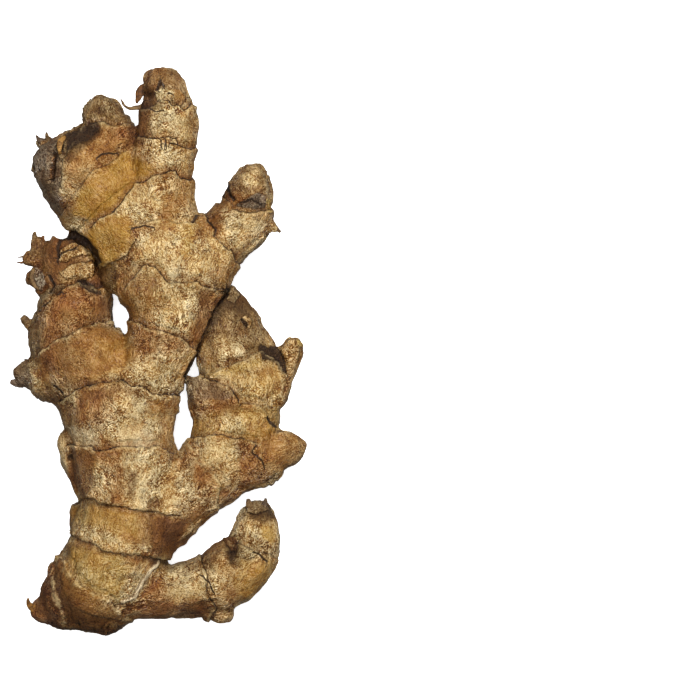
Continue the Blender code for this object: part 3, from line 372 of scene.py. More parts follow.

# Stains of the upper side, with painted shadows, shades and highlights among them, each laid over those
# before it: tone, strength, softness, and outline.
STAINS = (
    ("tan", 0.8, 2.5, (-6.8, 62, 12.4, 60, 11.8, 50.6, 10.3, 40, 3, 40.2, -2.6, 52.6)),
    ("brown", 0.7, 1.6, (-3.8, 85.6, 6.4, 85.2, 8.4, 75.6, -5.6, 75.6)),
    ("light", 0.9, 1.8, (-1.3, 73.4, 8.6, 73.2, 10.2, 64.6, 0.4, 63.8, -1.6, 67.7)),
    ("brown", 0.75, 1.4, (-6.6, 76.4, -2.6, 73.2, -3.2, 65.2, -6, 61.6, -9.4, 62)),
    ("cream_and_highlight", 0.85, 0.7, (0.4, 79.4, 4.6, 79.2, 6, 77.8, 4.4, 75.6, 0.4, 75.2)),
    ("golden", 0.8, 0.8, (4.6, 77.6, 6.6, 77, 6.4, 75.4, 4.6, 75.6)),
    ("dark", 0.6, 1, (-2.8, 74.2, 1.1, 75, 1.4, 72.6, -2.2, 71.8)),
    ("light", 0.75, 1.8, (-1.4, 62.6, 4.4, 61.6, 4.8, 56.1, -0.1, 54.6)),
    ("rust", 0.65, 1.4, (-8.9, 59.6, -2.5, 59.6, -2.6, 56.1, -7.6, 54.6)),
    ("light", 0.95, 1.4, (-9.2, 46.4, -2.5, 52, 1.6, 45, -0.6, 38.6, -8.1, 38, -10.4, 44.2)),
    ("brown", 0.4, 1.6, (-28.4, 44, -22.9, 52, -21.4, 50.2, -24.6, 40.6, -29, 37)),
    ("ochre", 0.6, 2, (-26.4, 59.1, -18.5, 63.2, -12, 60, -20.9, 53.4, -26.4, 46.4, -28.9, 49.9)),
    ("grey", 0.95, 1.4, (-38.6, 58.5, -31.2, 66, -27.7, 60.1, -29.3, 48.7, -29.6, 39.6, -36.6, 44.6)),
    ("dark", 0.55, 1, (-28.6, 64.9, -20.9, 69, -16.9, 68.6, -17.8, 65.4, -24.6, 60.9, -28, 59.6)),
    ("tan", 0.7, 1, (-31.6, 67.4, -24.6, 69.2, -23, 67.2, -29.6, 64.6)),
    ("drab", 0.85, 1.2, (-24.4, 74.8, -14.8, 78.6, -7.4, 69.9, -13.6, 67.8, -23.8, 68.2)),
    ("dark", 0.5, 1, (-19.4, 73, -15.2, 73.4, -15.6, 71.6, -19, 70.8)),
    ("rust", 0.85, 0.8, (-12.6, 67.4, -8, 66.9, -8, 63.4, -12.3, 63.4)),
    ("brown", 0.35, 1, (-11, 41.4, -9, 38.7, -8.7, 34.7, -9.4, 31.6, -13, 34)),
    ("light", 0.95, 2, (-5, 34.8, 7.2, 37, 11.4, 33, 18.3, 35, 24.6, 26, 20, 18.6, 12, 21.2, 3.1, 20.6,
        -0.1, 24.7, -8.7, 27.4, -7.4, 32)),
    ("golden", 0.7, 1.4, (6.6, 38.6, 10.9, 39.2, 10.6, 31, 7.9, 28.9, 6.4, 33.2)),
    ("golden", 0.4, 1.4, (-1.4, 39.2, 7.6, 38.9, 8.2, 37.4, -1.2, 37.2)),
    ("rust", 0.45, 2, (16.4, 26.4, 24.6, 27.6, 20.8, 18, 15, 19.6)),
    ("brown", 0.75, 1.5, (12.4, 41.4, 19.5, 50.1, 21.9, 45.2, 17.4, 38)),
    ("drab", 0.75, 1.5, (19.7, 51.2, 28.1, 58.7, 35.2, 51.2, 34.2, 46.3, 25.6, 47.5, 20.6, 47.4)),
    ("light", 0.55, 1, (24.6, 53, 29.4, 54.2, 30.4, 50.6, 26.2, 49.6)),
    ("light", 0.7, 2, (19.5, 42, 32.2, 42.2, 34.6, 39.6, 26.4, 30.6, 18.9, 34)),
    ("grey", 0.85, 0.6, (24, 43.5, 31.3, 47, 31.9, 42.3, 29.7, 42.1)),
    # Dark in this hollow: painted shade.
    ("dark", 0.5, 0.8, (27.6, 45.2, 31.2, 46.8, 31.6, 43.8)),
    ("ochre", 0.7, 1.8, (-10.4, 21, -3.2, 24.4, -1.3, 18.5, -2, 9, -10.4, 9.2)),
    ("drab", 0.45, 1.6, (-8, 20.4, -4.6, 25, 0.6, 22.6, 1.6, 17.6, -4, 17)),
    ("light", 0.9, 1.8, (2.4, 19.8, 13.4, 20.4, 12.4, 12.4, 5.4, 5.2, -1.6, 8.2)),
    ("rust", 0.6, 2.2, (13.4, 20, 19.8, 17, 12.8, 4, 7.6, 3.6, 10.9, 12.4)),
    ("rust", 0.65, 1.8, (-9.4, 8.8, 4.4, 4.9, 8.4, 0.6, -2, -1.6, -9, 3)),
    ("light", 0.8, 2.6, (-7.6, -3, 5.2, -2, 6.4, -12.6, -2, -12.6, -6, -9.6)),
    ("honey", 0.8, 2.4, (-19.4, 5.6, -9.4, 5, -8.4, -2, -14.4, -7, -20.9, -5)),
    ("ochre", 0.6, 2, (-24.4, 5.6, -14, 8.6, -19, -2, -24, -4)),
    ("brown", 0.85, 1.3, (-42, 30.8, -36, 34.6, -24.6, 35, -17.5, 27.1, -17.6, 19.6, -26, 20.2,
        -31.9, 16.6, -38.6, 15.4, -42.6, 22.2)),
    ("tan", 0.85, 1, (-29.9, 23.4, -20.9, 27, -20.4, 22.4, -25, 21.4, -28.4, 20.4)),
    ("drab", 0.7, 1, (-37.8, 34.6, -34.6, 34.6, -34.2, 29, -38.4, 28.2)),
    # Painted shadow under the broad lobe.
    ("dark", 0.7, 1, (-29.6, 33.6, -23.2, 33, -19.4, 28, -24.4, 30.4)),
    ("rust", 0.55, 2, (-34.6, 13.2, -26, 19.4, -15, 17, -12.6, 9.9, -21.1, 8.4, -33.2, 2.4)),
    ("brown", 0.6, 1.6, (-30, 15.6, -25, 20, -18, 17.6, -14, 13, -17, 10, -22, 12.4, -30.4, 8)),
    ("brown", 0.5, 1.4, (-36.6, -2, -30.8, 2.4, -24.6, 4.4, -26, 0.6, -32, -4.6)),
    ("golden", 0.35, 2.4, (-31, 12, -24, 15.6, -17, 13, -20, 9.6, -29, 6.6)),
    ("drab", 0.85, 1.2, (-38.6, 12.4, -33.6, 12.4, -33.6, 2.6, -38.4, -2.3, -40.8, 2.6)),
    ("brown", 0.6, 2.4, (-37.4, -2.4, -31.2, 2.4, -22.6, 4.4, -21.4, -9.6, -27.6, -13, -33.5, -10.9)),
    ("grey", 0.9, 1.2, (-47, -6, -39.7, -1.3, -37.4, -8.4, -38.9, -13.1, -46, -11)),
    ("grey", 0.6, 1.4, (-38.6, -9.4, -29.5, -12.4, -28.2, -17.7, -36.8, -16.3)),
    ("drab", 0.8, 1.5, (-29.6, -15.1, -23.6, -12.6, -23.4, -23.1, -28.6, -24.1)),
    ("rust", 0.6, 1.8, (-23.4, -12, -15.6, -10, -16.4, -24.1, -23.6, -23.6)),
    ("light", 0.9, 1.8, (-15.2, -10.4, -5, -11.4, 0, -24.1, -16.2, -24.4)),
    ("tan", 0.7, 1.6, (0.8, -13.6, 5.6, -13.8, 4.6, -30, 0.8, -28.8)),
    ("pale", 0.6, 1, (-31.6, -23.2, -27.8, -24.8, -27, -34.6, -28.4, -37.7, -31.6, -31)),
    ("brown", 0.8, 1.4, (-26.8, -29.6, -18.9, -30.2, -18.6, -39.6, -21.8, -43.8, -27.2, -40.2)),
    ("rust", 0.6, 1.8, (-18.9, -30.6, -11.6, -29.6, -9.4, -37.5, -11.6, -46, -16.6, -45.4, -14.4, -41.6)),
    ("light", 0.7, 1.8, (-10, -29.6, 0, -29.8, 0.6, -47, -6, -47, -10.4, -38)),
    ("grey", 0.65, 1.3, (-9.9, -35.7, -6.3, -35.1, -5.6, -39.9, -7.4, -45.4, -9.4, -42.8)),
    ("rust", 0.45, 2, (4.4, -31.6, 10.4, -29.6, 15, -36.4, 18.6, -46, 10, -50, 2.9, -45)),
    ("light", 0.6, 1.6, (2, -35, 9.8, -34, 10.4, -42.6, 2, -46.4)),
    ("ochre", 0.85, 1.4, (-27, -46.4, -17.4, -46.2, -2, -48.6, 1.6, -49.6, -1.7, -60.4, -17.4, -59.2,
        -26.8, -54.1)),
    ("drab", 0.7, 1.2, (-27, -49.5, -21.2, -46.9, -18.9, -53, -20, -56.9, -26.2, -54.6)),
    ("brown", 0.85, 1.6, (-3, -49.2, 9.5, -50.6, 4.5, -62.4, -2.4, -60.6)),
    ("rust", 0.5, 1.6, (0, -49.2, 9.5, -50.6, 4.5, -62, 1.4, -57.6)),
    ("light", 0.7, 0.8, (-20.4, -56, -12, -56.6, -2.8, -58.7, -2.8, -61.2, -17.2, -59.9)),
    ("brown", 0.75, 1.4, (-28.5, -57, -20.6, -57.9, -17, -60.2, 0.6, -62.2, -1.7, -65, -28.6, -61.6)),
    ("tan", 0.7, 2, (-24.3, -62.1, -3.7, -63.1, -5.4, -71.3, -12, -75.4, -13.1, -69)),
    ("light", 0.85, 1, (-28.5, -62.9, -22.3, -62.1, -11.6, -69, -11.6, -74.8, -14.2, -75, -22.6, -70,
        -25.9, -66.8)),
    ("ochre", 0.9, 1.2, (-31.6, -70, -30.6, -64.6, -26.4, -68, -12.4, -77.5, -10.9, -81.4, -24.6, -84.4,
        -28, -80.4)),
    ("rust", 0.95, 1, (-31.6, -60.7, -31.7, -69, -28.4, -78.2, -29.2, -83.1, -41, -80.1, -37.1, -70.6)),
    ("brown", 0.5, 1.4, (-41, -80.1, -28, -80.4, -10, -79.4, -10, -84, -28, -86.6, -42, -84)),
    ("rust", 0.6, 1.8, (-12, -74.6, -3.9, -66.4, 2.6, -66, 0, -78.5, -10.9, -79.8)),
    ("light", 0.85, 1.6, (2.4, -64.4, 13.3, -67.6, 13.8, -73.4, 4.1, -74.6)),
    ("brown", 0.85, 1.5, (-1.8, -76, 13.3, -75, 16.7, -80, 9.8, -83.5, -1.8, -82.4)),
    ("drab", 0.6, 1.6, (6, -62, 16, -59.4, 18, -66.6, 8, -66)),
    ("drab", 0.7, 1.4, (11.6, -61.4, 17.4, -55.8, 19.8, -60.4, 14, -64.6)),
    # Dark in the bottom finger's hollow: painted shade.
    ("dark", 0.9, 0.8, (18.2, -55.4, 20.6, -54.6, 23, -57, 23.4, -61, 21.8, -64, 20.2, -62.6, 20.6, -59)),
    ("brown", 0.6, 0.9, (13.4, -58.6, 17.8, -55, 20, -56.4, 17.6, -59.6, 14, -61.6)),
    ("ochre", 0.6, 2, (23.6, -61.6, 36.5, -63.4, 35.9, -69.4, 25.9, -75.6, 21, -70.4)),
    ("light", 0.65, 1.6, (23.4, -49.9, 31, -49.4, 31, -56.1, 25.9, -60.5)),
    ("golden", 0.9, 0.8, (31.2, -52.4, 35, -52.6, 34.6, -57.4, 31.4, -56.6)),
    ("dark", 0.75, 1.3, (25.6, -44, 33.6, -43.4, 35.6, -50.7, 31.6, -49.6, 25.9, -49.4)),
    ("drab", 0.85, 1.8, (12.4, 6.3, 18.6, 15.6, 31.5, 14.4, 33.3, 2, 26.4, -1.8, 17, -5)),
    ("dark", 0.6, 1.5, (19.6, 20.5, 28.5, 15.3, 27.4, 10.4, 20.6, 13)),
    ("light", 0.5, 1.6, (17, 4.6, 26, 4.4, 24.6, -0.6, 18.4, -3)),
    ("golden", 0.75, 1.2, (14.4, -7, 18.2, -5.6, 26.6, -2.6, 31.6, -0.6, 31, -4.6, 20, -8.2)),
    ("light", 0.75, 2, (21.9, -7.2, 36, -6, 37.4, -14.3, 25.6, -15.4)),
    ("golden", 0.45, 2.4, (20.9, -7.2, 37, -4, 37.4, -14.3, 24.6, -15.4)),
    ("grey", 0.75, 0.8, (7.9, -7.6, 17.8, -9, 21.9, -11.4, 22.6, -14.4, 9.4, -14.9)),
    ("rust", 0.6, 1.8, (8.4, -14.8, 23.6, -15.6, 24.4, -19.2, 8.4, -24.4)),
    ("dark", 0.85, 0.7, (30.4, 1.8, 35.4, 1.6, 38.4, -6.6, 36, -4.2, 31, -1.4)),
    ("ochre", 0.7, 1.2, (36.6, 3.6, 44, 6, 44.2, -3.2, 39.9, -9.8)),
    ("golden", 0.55, 1.4, (8.8, -21.1, 20, -17.6, 36.4, -16.2, 37.2, -23.6, 29.3, -27, 15.6, -24.8,
        8.8, -26.1)),
    ("light", 0.5, 1.8, (12, -22.6, 22, -19, 28, -23, 22, -25.4)),
    ("light", 0.75, 1.4, (11, -29.6, 15.6, -26, 24.7, -26.8, 24.2, -35.7, 19, -40.3, 13.3, -34.6)),
    ("rust", 0.75, 1, (22.7, -26.8, 29.3, -27.8, 27.4, -30.6, 31.6, -34, 33.8, -38.5, 24.2, -41.7,
        24.6, -34.6)),
    ("ochre", 0.75, 1.6, (31, -24, 41.4, -24.5, 46.7, -29.4, 38.5, -37.2, 32.8, -34.4)),
    ("rust", 0.6, 1.4, (19, -42, 27, -40, 34.8, -37.6, 20.1, -48.5)),
    ("pale", 0.8, 0.7, (-27, -22.6, -18.9, -24.2, -17.7, -27.1, -19.5, -28.8, -26.8, -28.6)),
    ("pale", 0.95, 0.6, (-12.2, -24.6, -10, -22.3, -6.6, -21.8, -6.2, -20.6, -5.4, -22, -2.8, -23.8,
        -0.6, -26, 2, -28.5, -0.5, -28.9, -12.6, -28.7)),
    # Cream patches on the crests: painted highlights.
    ("cream_and_highlight", 0.5, 2.2, (-4.6, 35.2, 1.6, 37, 4, 33.4, 0.6, 29.6, -5.4, 31.4)),
    ("cream_and_highlight", 0.8, 1.6, (12, 34, 16.4, 34.4, 16.8, 28.4, 13.2, 26.2, 11.2, 29.6)),
    ("cream_and_highlight", 0.7, 1.4, (3.6, 22.6, 8.6, 23, 9.4, 21.4, 4, 21.2)),
    ("cream_and_highlight", 0.8, 1.6, (-0.4, 71.6, 5.4, 72, 6.6, 66.6, 1, 65.4)),
    ("cream_and_highlight", 0.5, 1.6, (-0.6, 61.6, 3.4, 61, 3.6, 57, 0.4, 56.4)),
    ("cream_and_highlight", 0.5, 1.4, (-7.6, 46.4, -3, 48.6, 0.6, 45.6, -2, 41.4, -6.6, 42.6)),
    ("cream_and_highlight", 0.6, 1.4, (2.6, 14.4, 8.6, 15.6, 9.6, 11, 4.6, 8.4)),
    ("cream_and_highlight", 0.6, 1.4, (-10.6, -13, -4.6, -13.4, -5, -18, -10, -17.6)),
    ("cream_and_highlight", 0.75, 1.2, (-9, -30.6, -3.6, -30.2, -3.6, -35, -7.6, -35.4)),
    ("cream_and_highlight", 0.75, 1.2, (-5.2, -36, -1.4, -35.6, -1.8, -42, -6, -46.2, -8.4, -45.6)),
    ("cream_and_highlight", 0.8, 0.8, (1.4, -46.4, 4.4, -45.8, 7.6, -43.8, 6.8, -42.8, 3, -44.2)),
    ("cream_and_highlight", 0.6, 1, (-21, -57, -14, -57.8, -9.6, -59.4, -18.6, -58.6)),
    ("cream_and_highlight", 0.75, 1, (-22.6, -65.6, -14.6, -70.6, -12.6, -74.2, -18.6, -70.6, -24.6, -66)),
    ("cream_and_highlight", 0.6, 1.2, (4, -66.4, 11.6, -68.2, 11.8, -72, 5, -71.6)),
    ("cream_and_highlight", 0.5, 1, (19, 1.6, 24, 2, 26, 0.4, 22.4, -1.8, 18.6, -0.6)),
    ("cream_and_highlight", 0.6, 1.4, (17.6, -7.4, 23.6, -7.4, 24.4, -12, 20, -11)),
    ("cream_and_highlight", 0.75, 1.2, (14.6, -26.6, 19.8, -27, 19.4, -32.6, 15.2, -34.6)),
    ("cream_and_highlight", 0.6, 1.2, (26, 39, 31, 40, 30.6, 36.8, 26.4, 35.6)),
    ("cream_and_highlight", 0.5, 1, (25, 53, 28.6, 53.8, 29, 51.4, 26.4, 50.8)),
    ("cream_and_highlight", 0.6, 0.8, (-8.8, 57.2, -6.4, 58.4, -5.8, 57.2, -8.2, 56.2)),
    # Painted shadow under the broad lobe's overhang.
    ("dark", 0.6, 0.9, (-30.6, 35.8, -24.6, 36.4, -20.6, 32, -17.2, 26.2, -18.6, 25.6, -22.6, 31.2,
        -26.6, 33.6)),
    ("dark", 0.5, 0.8, (-22, -8.6, -18, -8.8, -17.6, -10.8, -21.6, -11.2)),
    ("dark", 0.6, 0.7, (-12.8, -8, -9.6, -8.4, -9.8, -10, -12.6, -9.8)),
    ("dark", 0.45, 1.2, (0, -49.8, 8.6, -51.6, 4, -60.8, 0.6, -56)),
    # Painted shadow in the cleft between the left limb's tip and the middle limb.
    ("dark", 0.6, 0.8, (-18.4, 25.2, -13.8, 25.6, -11.6, 22.6, -13.2, 19.4, -17.8, 19)),
    # Darker down the top finger's left side and in its tip's hollow: painted shade.
    ("brown", 0.75, 1.2, (-6.4, 79, -2.4, 77.6, -1.6, 71, -2.4, 65, -5.4, 62, -9.4, 62)),
    ("dark", 0.55, 0.9, (-5.8, 78.6, -2.2, 78, -1.2, 72.8, -3.4, 71, -6, 73.4)),
    # Lighter patches here: painted highlights on the top finger's crest.
    ("light", 0.85, 1.5, (0.8, 71.4, 10.6, 72, 11.4, 64, 4.4, 62.6, 0.6, 64.6)),
    ("cream_and_highlight", 0.7, 1.2, (1.6, 69.6, 6.2, 69.4, 7.6, 64.6, 2.6, 64.6)),
    ("light", 0.7, 1.5, (2.6, 60, 9.6, 59.4, 9, 53.8, 3.4, 54.6)),
    ("ochre", 0.55, 1, (-9.4, 49, -3.4, 52.8, -1.6, 50.4, -7.4, 46.4)),
    ("cream_and_highlight", 0.8, 1.8, (2.4, 26.4, 9.6, 27, 10.4, 22.2, 4.4, 21.4)),
    ("light", 0.9, 1.8, (9.6, 31.6, 18.4, 33, 20.4, 26, 13.4, 24)),
    ("tan", 0.8, 1.2, (13.6, 23.6, 20.6, 24.6, 21.4, 20, 16.4, 19)),
    ("light", 0.9, 1.5, (3.6, 10, 10.4, 9.6, 9, 4.6, 4.6, 5.4)),
    ("light", 0.8, 1.8, (-0.6, -3.4, 6.6, -3.2, 6.6, -11.6, 0.4, -11.6)),
    ("light", 0.85, 1.2, (-14.6, -66.8, -3.4, -64.2, -2.6, -68.6, -7.6, -76.2, -13, -76)),
    ("chalk", 1, 0.25, (1, -63.6, -1.6, -66, -3.3, -68.7, -5.4, -71.4, -6.4, -74, -11.3, -75.8,
        -11.3, -74.8, -7.7, -73.4, -6.6, -71, -4.4, -68.3, -2.8, -65.5, 0.2, -63.4)),
    ("dark", 0.62, 0.7, (-30.4, 58.6, -26.6, 56.4, -22.6, 60.4, -17.4, 65, -18.4, 68.6, -25, 67.6,
        -29, 64.8)),
    ("light", 0.9, 1.3, (-3.6, -33.6, 1.4, -33.6, 2, -41.6, -2.8, -42.6)),
    ("rust", 0.55, 1.3, (-20, -11.8, -12, -11.2, -12.8, -21, -20, -21.6)),
    ("brown", 0.6, 1, (12.4, 18.4, 18.6, 16.2, 14.6, 8, 11.8, 3, 10.8, 8)),
    ("brown", 0.6, 1, (-23.6, -12.8, -12, -10.2, -5, -11.6, -4.6, -13.8, -12, -13.2, -23.6, -15.4)),
    # Darker along the bottom edge: painted shade.
    ("dark", 0.5, 1, (-40, -80.6, -28, -82.8, -18, -83.6, -8, -81.4, 0, -79.2, 14, -79.4, 14, -85,
        -20, -89, -42, -85)),
    ("dark", 0.6, 1.2, (-1, -61.8, 4.6, -61.2, 8, -64, 3, -66, -1, -64.8)),
    # Painted shadow where the middle limb lies over the right limb.
    ("dark", 0.6, 1, (16.6, 14.6, 20.6, 19, 21.6, 14.6, 18, 8.6, 15.4, 5.6, 14.8, 9)),
    ("rust", 0.35, 1.6, (-37, 12, -26, 18, -14.6, 16, -12, 6, -22, 4, -34, 1)),
    ("rust", 0.4, 1.8, (-34, 13, -26, 20, -15, 17.4, -13, 10.6, -22, 8.6, -33, 3.6)),
    ("ochre", 0.65, 2.2, (-32, 2, -22, 6.6, -11, 7.4, -8, -2, -16, -8, -28, -9)),
    ("golden", 0.6, 1.5, (-25.6, -46.4, -14, -47, -7, -48.6, -6, -55.6, -14, -57.6, -25.4, -54.6)),
    ("light", 0.6, 1.1, (-25, -51.6, -16, -53.6, -8.6, -56.4, -8.6, -59.2, -18, -58.2, -25, -55)),
    ("golden", 0.75, 2, (-27, -58.6, -12, -60.4, -8, -65, -12, -75, -20, -72.6, -27.6, -66.6)),
    ("brown", 0.5, 1.5, (-31.6, -62, -28, -62.6, -25.6, -70, -21, -76.6, -14, -80.6, -22, -82.4, -29, -78,
        -32.4, -70)),
    ("dark", 0.4, 1.2, (-38, -77, -31, -65, -29.6, -70, -25, -79, -14, -82.6, -26, -87)),
    # Dark in the bottom finger's hollow: painted shade.
    ("dark", 0.6, 0.9, (18.4, -54.6, 23.6, -55.2, 25, -59, 24, -64.4, 21, -64, 20.6, -58.4)),
    ("dark", 0.6, 0.8, (26.6, -46.4, 29, -44.4, 33.6, -45.6, 34.6, -50, 31, -51.6, 27.4, -50)),
    ("golden", 0.5, 1.5, (25, -63, 34.6, -62, 33, -70, 27, -75.6, 22.6, -72)),
    ("honey", 0.9, 1.2, (-18, 54.2, -9.9, 59.6, -1.6, 55.6, -1.9, 53.2, -6.1, 50.4, -9.2, 47.3,
        -13.4, 42.6, -18.5, 39.6, -25.6, 40.4, -24.2, 47)),
    ("honey", 0.9, 1.2, (-13.8, 41, -10.1, 41.6, -8.3, 38.7, -7.9, 34.7, -8.3, 32.1, -11, 29, -12.1, 27.3,
        -16.7, 25.2, -20.6, 25.9, -21.6, 33, -20.6, 37, -17.6, 39.4)),
)

# How far a ring's swelling and its groove reach along the limb, and the groove's share of the step.
SWELL_REACH = 4.2
GROOVE_REACH = 1.6
GROOVE_SHARE = 0.7
# The drop from a sheath's edge into its groove takes this distance.
DROP_WIDTH = 0.4
# Past a ring line's ends the ring fades over this distance.
RING_FADE = 2.2
# The underside's ring lines bow the other way by this share of their length.
UNDERSIDE_BOW = 0.10
# A ring's edge wanders by these distances over these lengths, and is torn along the fibres.
WANDER = ((0.7, 6.0), (0.35, 2.0))
FIBRE_TEAR = 0.25
# A line's attributes hold its distance up to here.
LINE_REACH = 3.0
# A torn scale's edge takes this distance.
SCALE_EDGE = 0.8
# How far the edges of tears, scales and stains wander, over which size, and how far they fray.
TEAR_WANDER = 0.25
TEAR_WANDER_SIZE = 1.3
SCALE_WANDER = 0.35
SCALE_WANDER_SIZE = 1.6
SCALE_FRAY = 0.15
STAIN_WANDER = 0.7
STAIN_WANDER_SIZE = 3.2
STAIN_FRAY = 0.4
# Beside a tear the skin is raised by this share of its depth, this many half widths out.
TEAR_RIM = 0.4
TEAR_RIM_PLACE = 1.8

# The ground under the stains varies over these lengths.
MOTTLE_SIZE = 9.0
BLOTCH_SIZE = 4.0

# The skin is calm in some places and busy in others, over this length.
CALM_SIZE = 7.0
CALM_SHARE = 0.6
# Calm skin is this much deeper in colour.
CALM_TINT = (0.92, 0.85, 0.70)

# Uneven growth, as on the solid.
LUMP_SIZE = 13.0
LUMP_HEIGHT = 0.9
DIMPLE_SIZE = 4.5
DIMPLE_HEIGHT = 0.5

# The crinkles: length along the fibres, width across them, and height, coarse to fine.
CRINKLES = ((4.4, 2.8, 0.50), (2.3, 1.5, 0.34))
# The height of a scar's rim and the depth of its dish.
SCAR_RIM = 0.5
SCAR_SINK = 0.9

# Limbs share a point's fibres where their skins are within this distance of each other.
LIMB_BLEND = 3.0

RANDOM_SEED = 20

# The material's folds: length along the fibres and width across them in millimetres, the noise's
# detail and distortion, and how sharp the valleys are.
COARSE_FOLD = (1.9, 1.2, 2.0, 0.8, 5.0)
FINE_FOLD = (0.85, 0.5, 1.0, 0.3, 6.0)
CREASE_FOLD = (9.0, 4.5, 2.0, 0.6, 14.0)
# The swirl that makes the fibres wave: its scale, and its size in millimetres.
SWIRL_SCALE = 110.0
SWIRL_SIZE = 8.0
# The material's noises: cells to the metre, detail, roughness, and distortion where there is one.
GRAIN_NOISE = (2300.0, 1.0, 0.5)
MOTTLE_NOISE = (300.0, 3.0, 0.65)
SPECKLE_NOISE = (900.0, 2.0, 0.6)
UNEVEN_NOISE = (260.0, 2.0, 0.6)
STREAK_NOISE = (900.0, 3.0, 0.65, 0.6)
FLECK_NOISE = (1500.0, 2.0, 0.6)
# The material's relief, in metres.
SKIN_BUMP = 0.00072
SHARD_BUMP = 0.0003

# Shades that a colour is multiplied by, on the skin and the dried scales.
SUNK_SHADE = (0.72, 0.50, 0.28)
# The valley, pit and crease shades darken the skin's folds: partly the skin's own brown, partly painted
# shade.
VALLEY_BROWN_AND_SHADE = (0.68, 0.51, 0.32)
PIT_BROWN_AND_SHADE = (0.34, 0.23, 0.16)
CREASE_BROWN_AND_SHADE = (0.42, 0.30, 0.20)
# Lightens the crests: partly paler skin, partly a painted highlight.
CREST_PALE_AND_HIGHLIGHT = (1.62, 1.67, 1.70)
# A painted shadow round the edge of each raised scale.
SCALE_RIM_SHADOW = (0.36, 0.25, 0.17)
# Darkens the groove beyond each ring's edge: painted shade, partly brown staining.
GROOVE_SHADE_AND_STAIN = (0.40, 0.27, 0.16)
STREAK_SHADE = (0.36, 0.31, 0.26)
# Tones that are laid over it; the crest's tone is partly paler skin and partly a painted highlight.
CREST_PALE_AND_HIGHLIGHT_TONE = (0.87, 0.75, 0.50)
SPECKLE_TONE = (0.075, 0.027, 0.008)
LIP_TONE = (0.55, 0.41, 0.21)
# The ring's crack: partly the scar's own dark line, partly painted shadow in the gap.
RING_CRACK_AND_SHADOW = (0.028, 0.013, 0.006)
# The tears' dark: real cracks, and painted shadow in a seam and under an overhang.
TEAR_CRACK_AND_SHADOW = (0.030, 0.014, 0.006)
SCAR_TONE = (0.10, 0.045, 0.016)
FLECK_TONE = (0.060, 0.028, 0.010)

# The soft boxes: name, place, size and power, and the strength of the even light round them.
LIGHTS = (
    ("overhead", (-0.05, 0.10, 1.10), 0.50, 8.3),
    ("key", (0.30, 0.52, 0.75), 0.12, 6.8),
)
WORLD_STRENGTH = 0.19
FLOOR_HALF = 3.0
FLOOR_TONE = (0.83, 0.83, 0.83)
FLOOR_GLOW = 0.8

LENS = 135.0
SENSOR = 36.0
# The camera's distance above the root's mid height, and the point that it looks at.
CAMERA_HEIGHT = 0.7875
FRAME_CENTRE = (0.05715, 0.00105)

# The tables' lines are drawn in the plan as seen from this height above MID_HEIGHT over PLAN_CENTRE,
# in millimetres.
SEEN_FROM = 787.5
MID_HEIGHT = 16.1
PLAN_CENTRE = (57.15, 0.9)


class Limb:
    """One limb: its centre line sampled evenly, with half width, half depth and a frame."""

    def __init__(self, foot_fillet, end_fillet, stations):
        self.fillets = (foot_fillet, end_fillet)
        rows = smooth_rows(np.array(stations, dtype=float))
        self.centres = rows[:, :3]
        self.widths = rows[:, 3]
        self.depths = rows[:, 4]
        steps = np.linalg.norm(np.diff(self.centres, axis=0), axis=1)
        self.places = np.concatenate(([0.0], np.cumsum(steps)))
        tangents = np.gradient(self.centres, axis=0)
        self.tangents = tangents / np.linalg.norm(tangents, axis=1)[:, None]
        sides = np.cross((0.0, 0.0, 1.0), self.tangents)
        self.sides = sides / np.linalg.norm(sides, axis=1)[:, None]
        self.ups = np.cross(self.tangents, self.sides)


def smooth_rows(stations):
    """A Catmull-Rom curve through the stations, with a row about every SAMPLE_STEP."""
    padded = np.vstack((2 * stations[0] - stations[1], stations, 2 * stations[-1] - stations[-2]))
    rows = []
    for before, start, end, after in zip(padded, padded[1:], padded[2:], padded[3:]):
        count = max(2, round(np.linalg.norm((end - start)[:3]) / SAMPLE_STEP))
        for share in np.arange(count) / count:
            linear = (end - before) * share
            square = (2 * before - 5 * start + 4 * end - after) * share ** 2
            cube = (3 * start - before - 3 * end + after) * share ** 3
            rows.append(start + 0.5 * (linear + square + cube))
    rows.append(stations[-1])
    return np.array(rows)


def limb_places(limb, points):
    """Each point's distance from the limb's skin, and its place in the limb as if that were
    straight: along it, across it and above its centre line, with the half depth there."""
    squares = np.sum(limb.centres ** 2, axis=1)[None, :] - 2.0 * points @ limb.centres.T
    nearest = np.argmin(squares, axis=1)
    length = limb.places[-1]
    offset = points - limb.centres[nearest]
    raw_place = limb.places[nearest] + np.sum(offset * limb.tangents[nearest], axis=1)
    place = np.clip(raw_place, 0.0, length)
    centre = np.stack([np.interp(place, limb.places, limb.centres[:, k]) for k in range(3)], axis=1)
    width = np.interp(place, limb.places, limb.widths)
    depth = np.interp(place, limb.places, limb.depths)
    radius = points - centre
    across = np.sum(radius * limb.sides[nearest], axis=1)
    height = np.sum(radius * limb.ups[nearest], axis=1)
    share = np.sqrt((across / width) ** 2 + (height / depth) ** 2) + 1e-6
    skin = np.sqrt(across ** 2 + height ** 2) * (1.0 - 1.0 / share)
    skin = np.where(share < 0.2, -np.minimum(width, depth), skin)
    past_end = np.maximum(raw_place - length, -raw_place)
    rounding = END_ROUND * np.minimum(width, depth)
    outer = np.maximum(skin + rounding, 0.0)
    beyond = np.maximum(past_end + rounding, 0.0)
    inner = np.minimum(np.maximum(skin, past_end) + rounding, 0.0)
    distance = inner + np.sqrt(outer ** 2 + beyond ** 2) - rounding
    return distance, np.stack((raw_place, across, height), axis=1), depth


def smooth_union(first, second, fillet):
    """The nearer of two distances, rounded where they are within a fillet of each other."""
    mix = np.clip(0.5 + 0.5 * (second - first) / fillet, 0.0, 1.0)
    return second * (1.0 - mix) + first * mix - fillet * mix * (1.0 - mix)


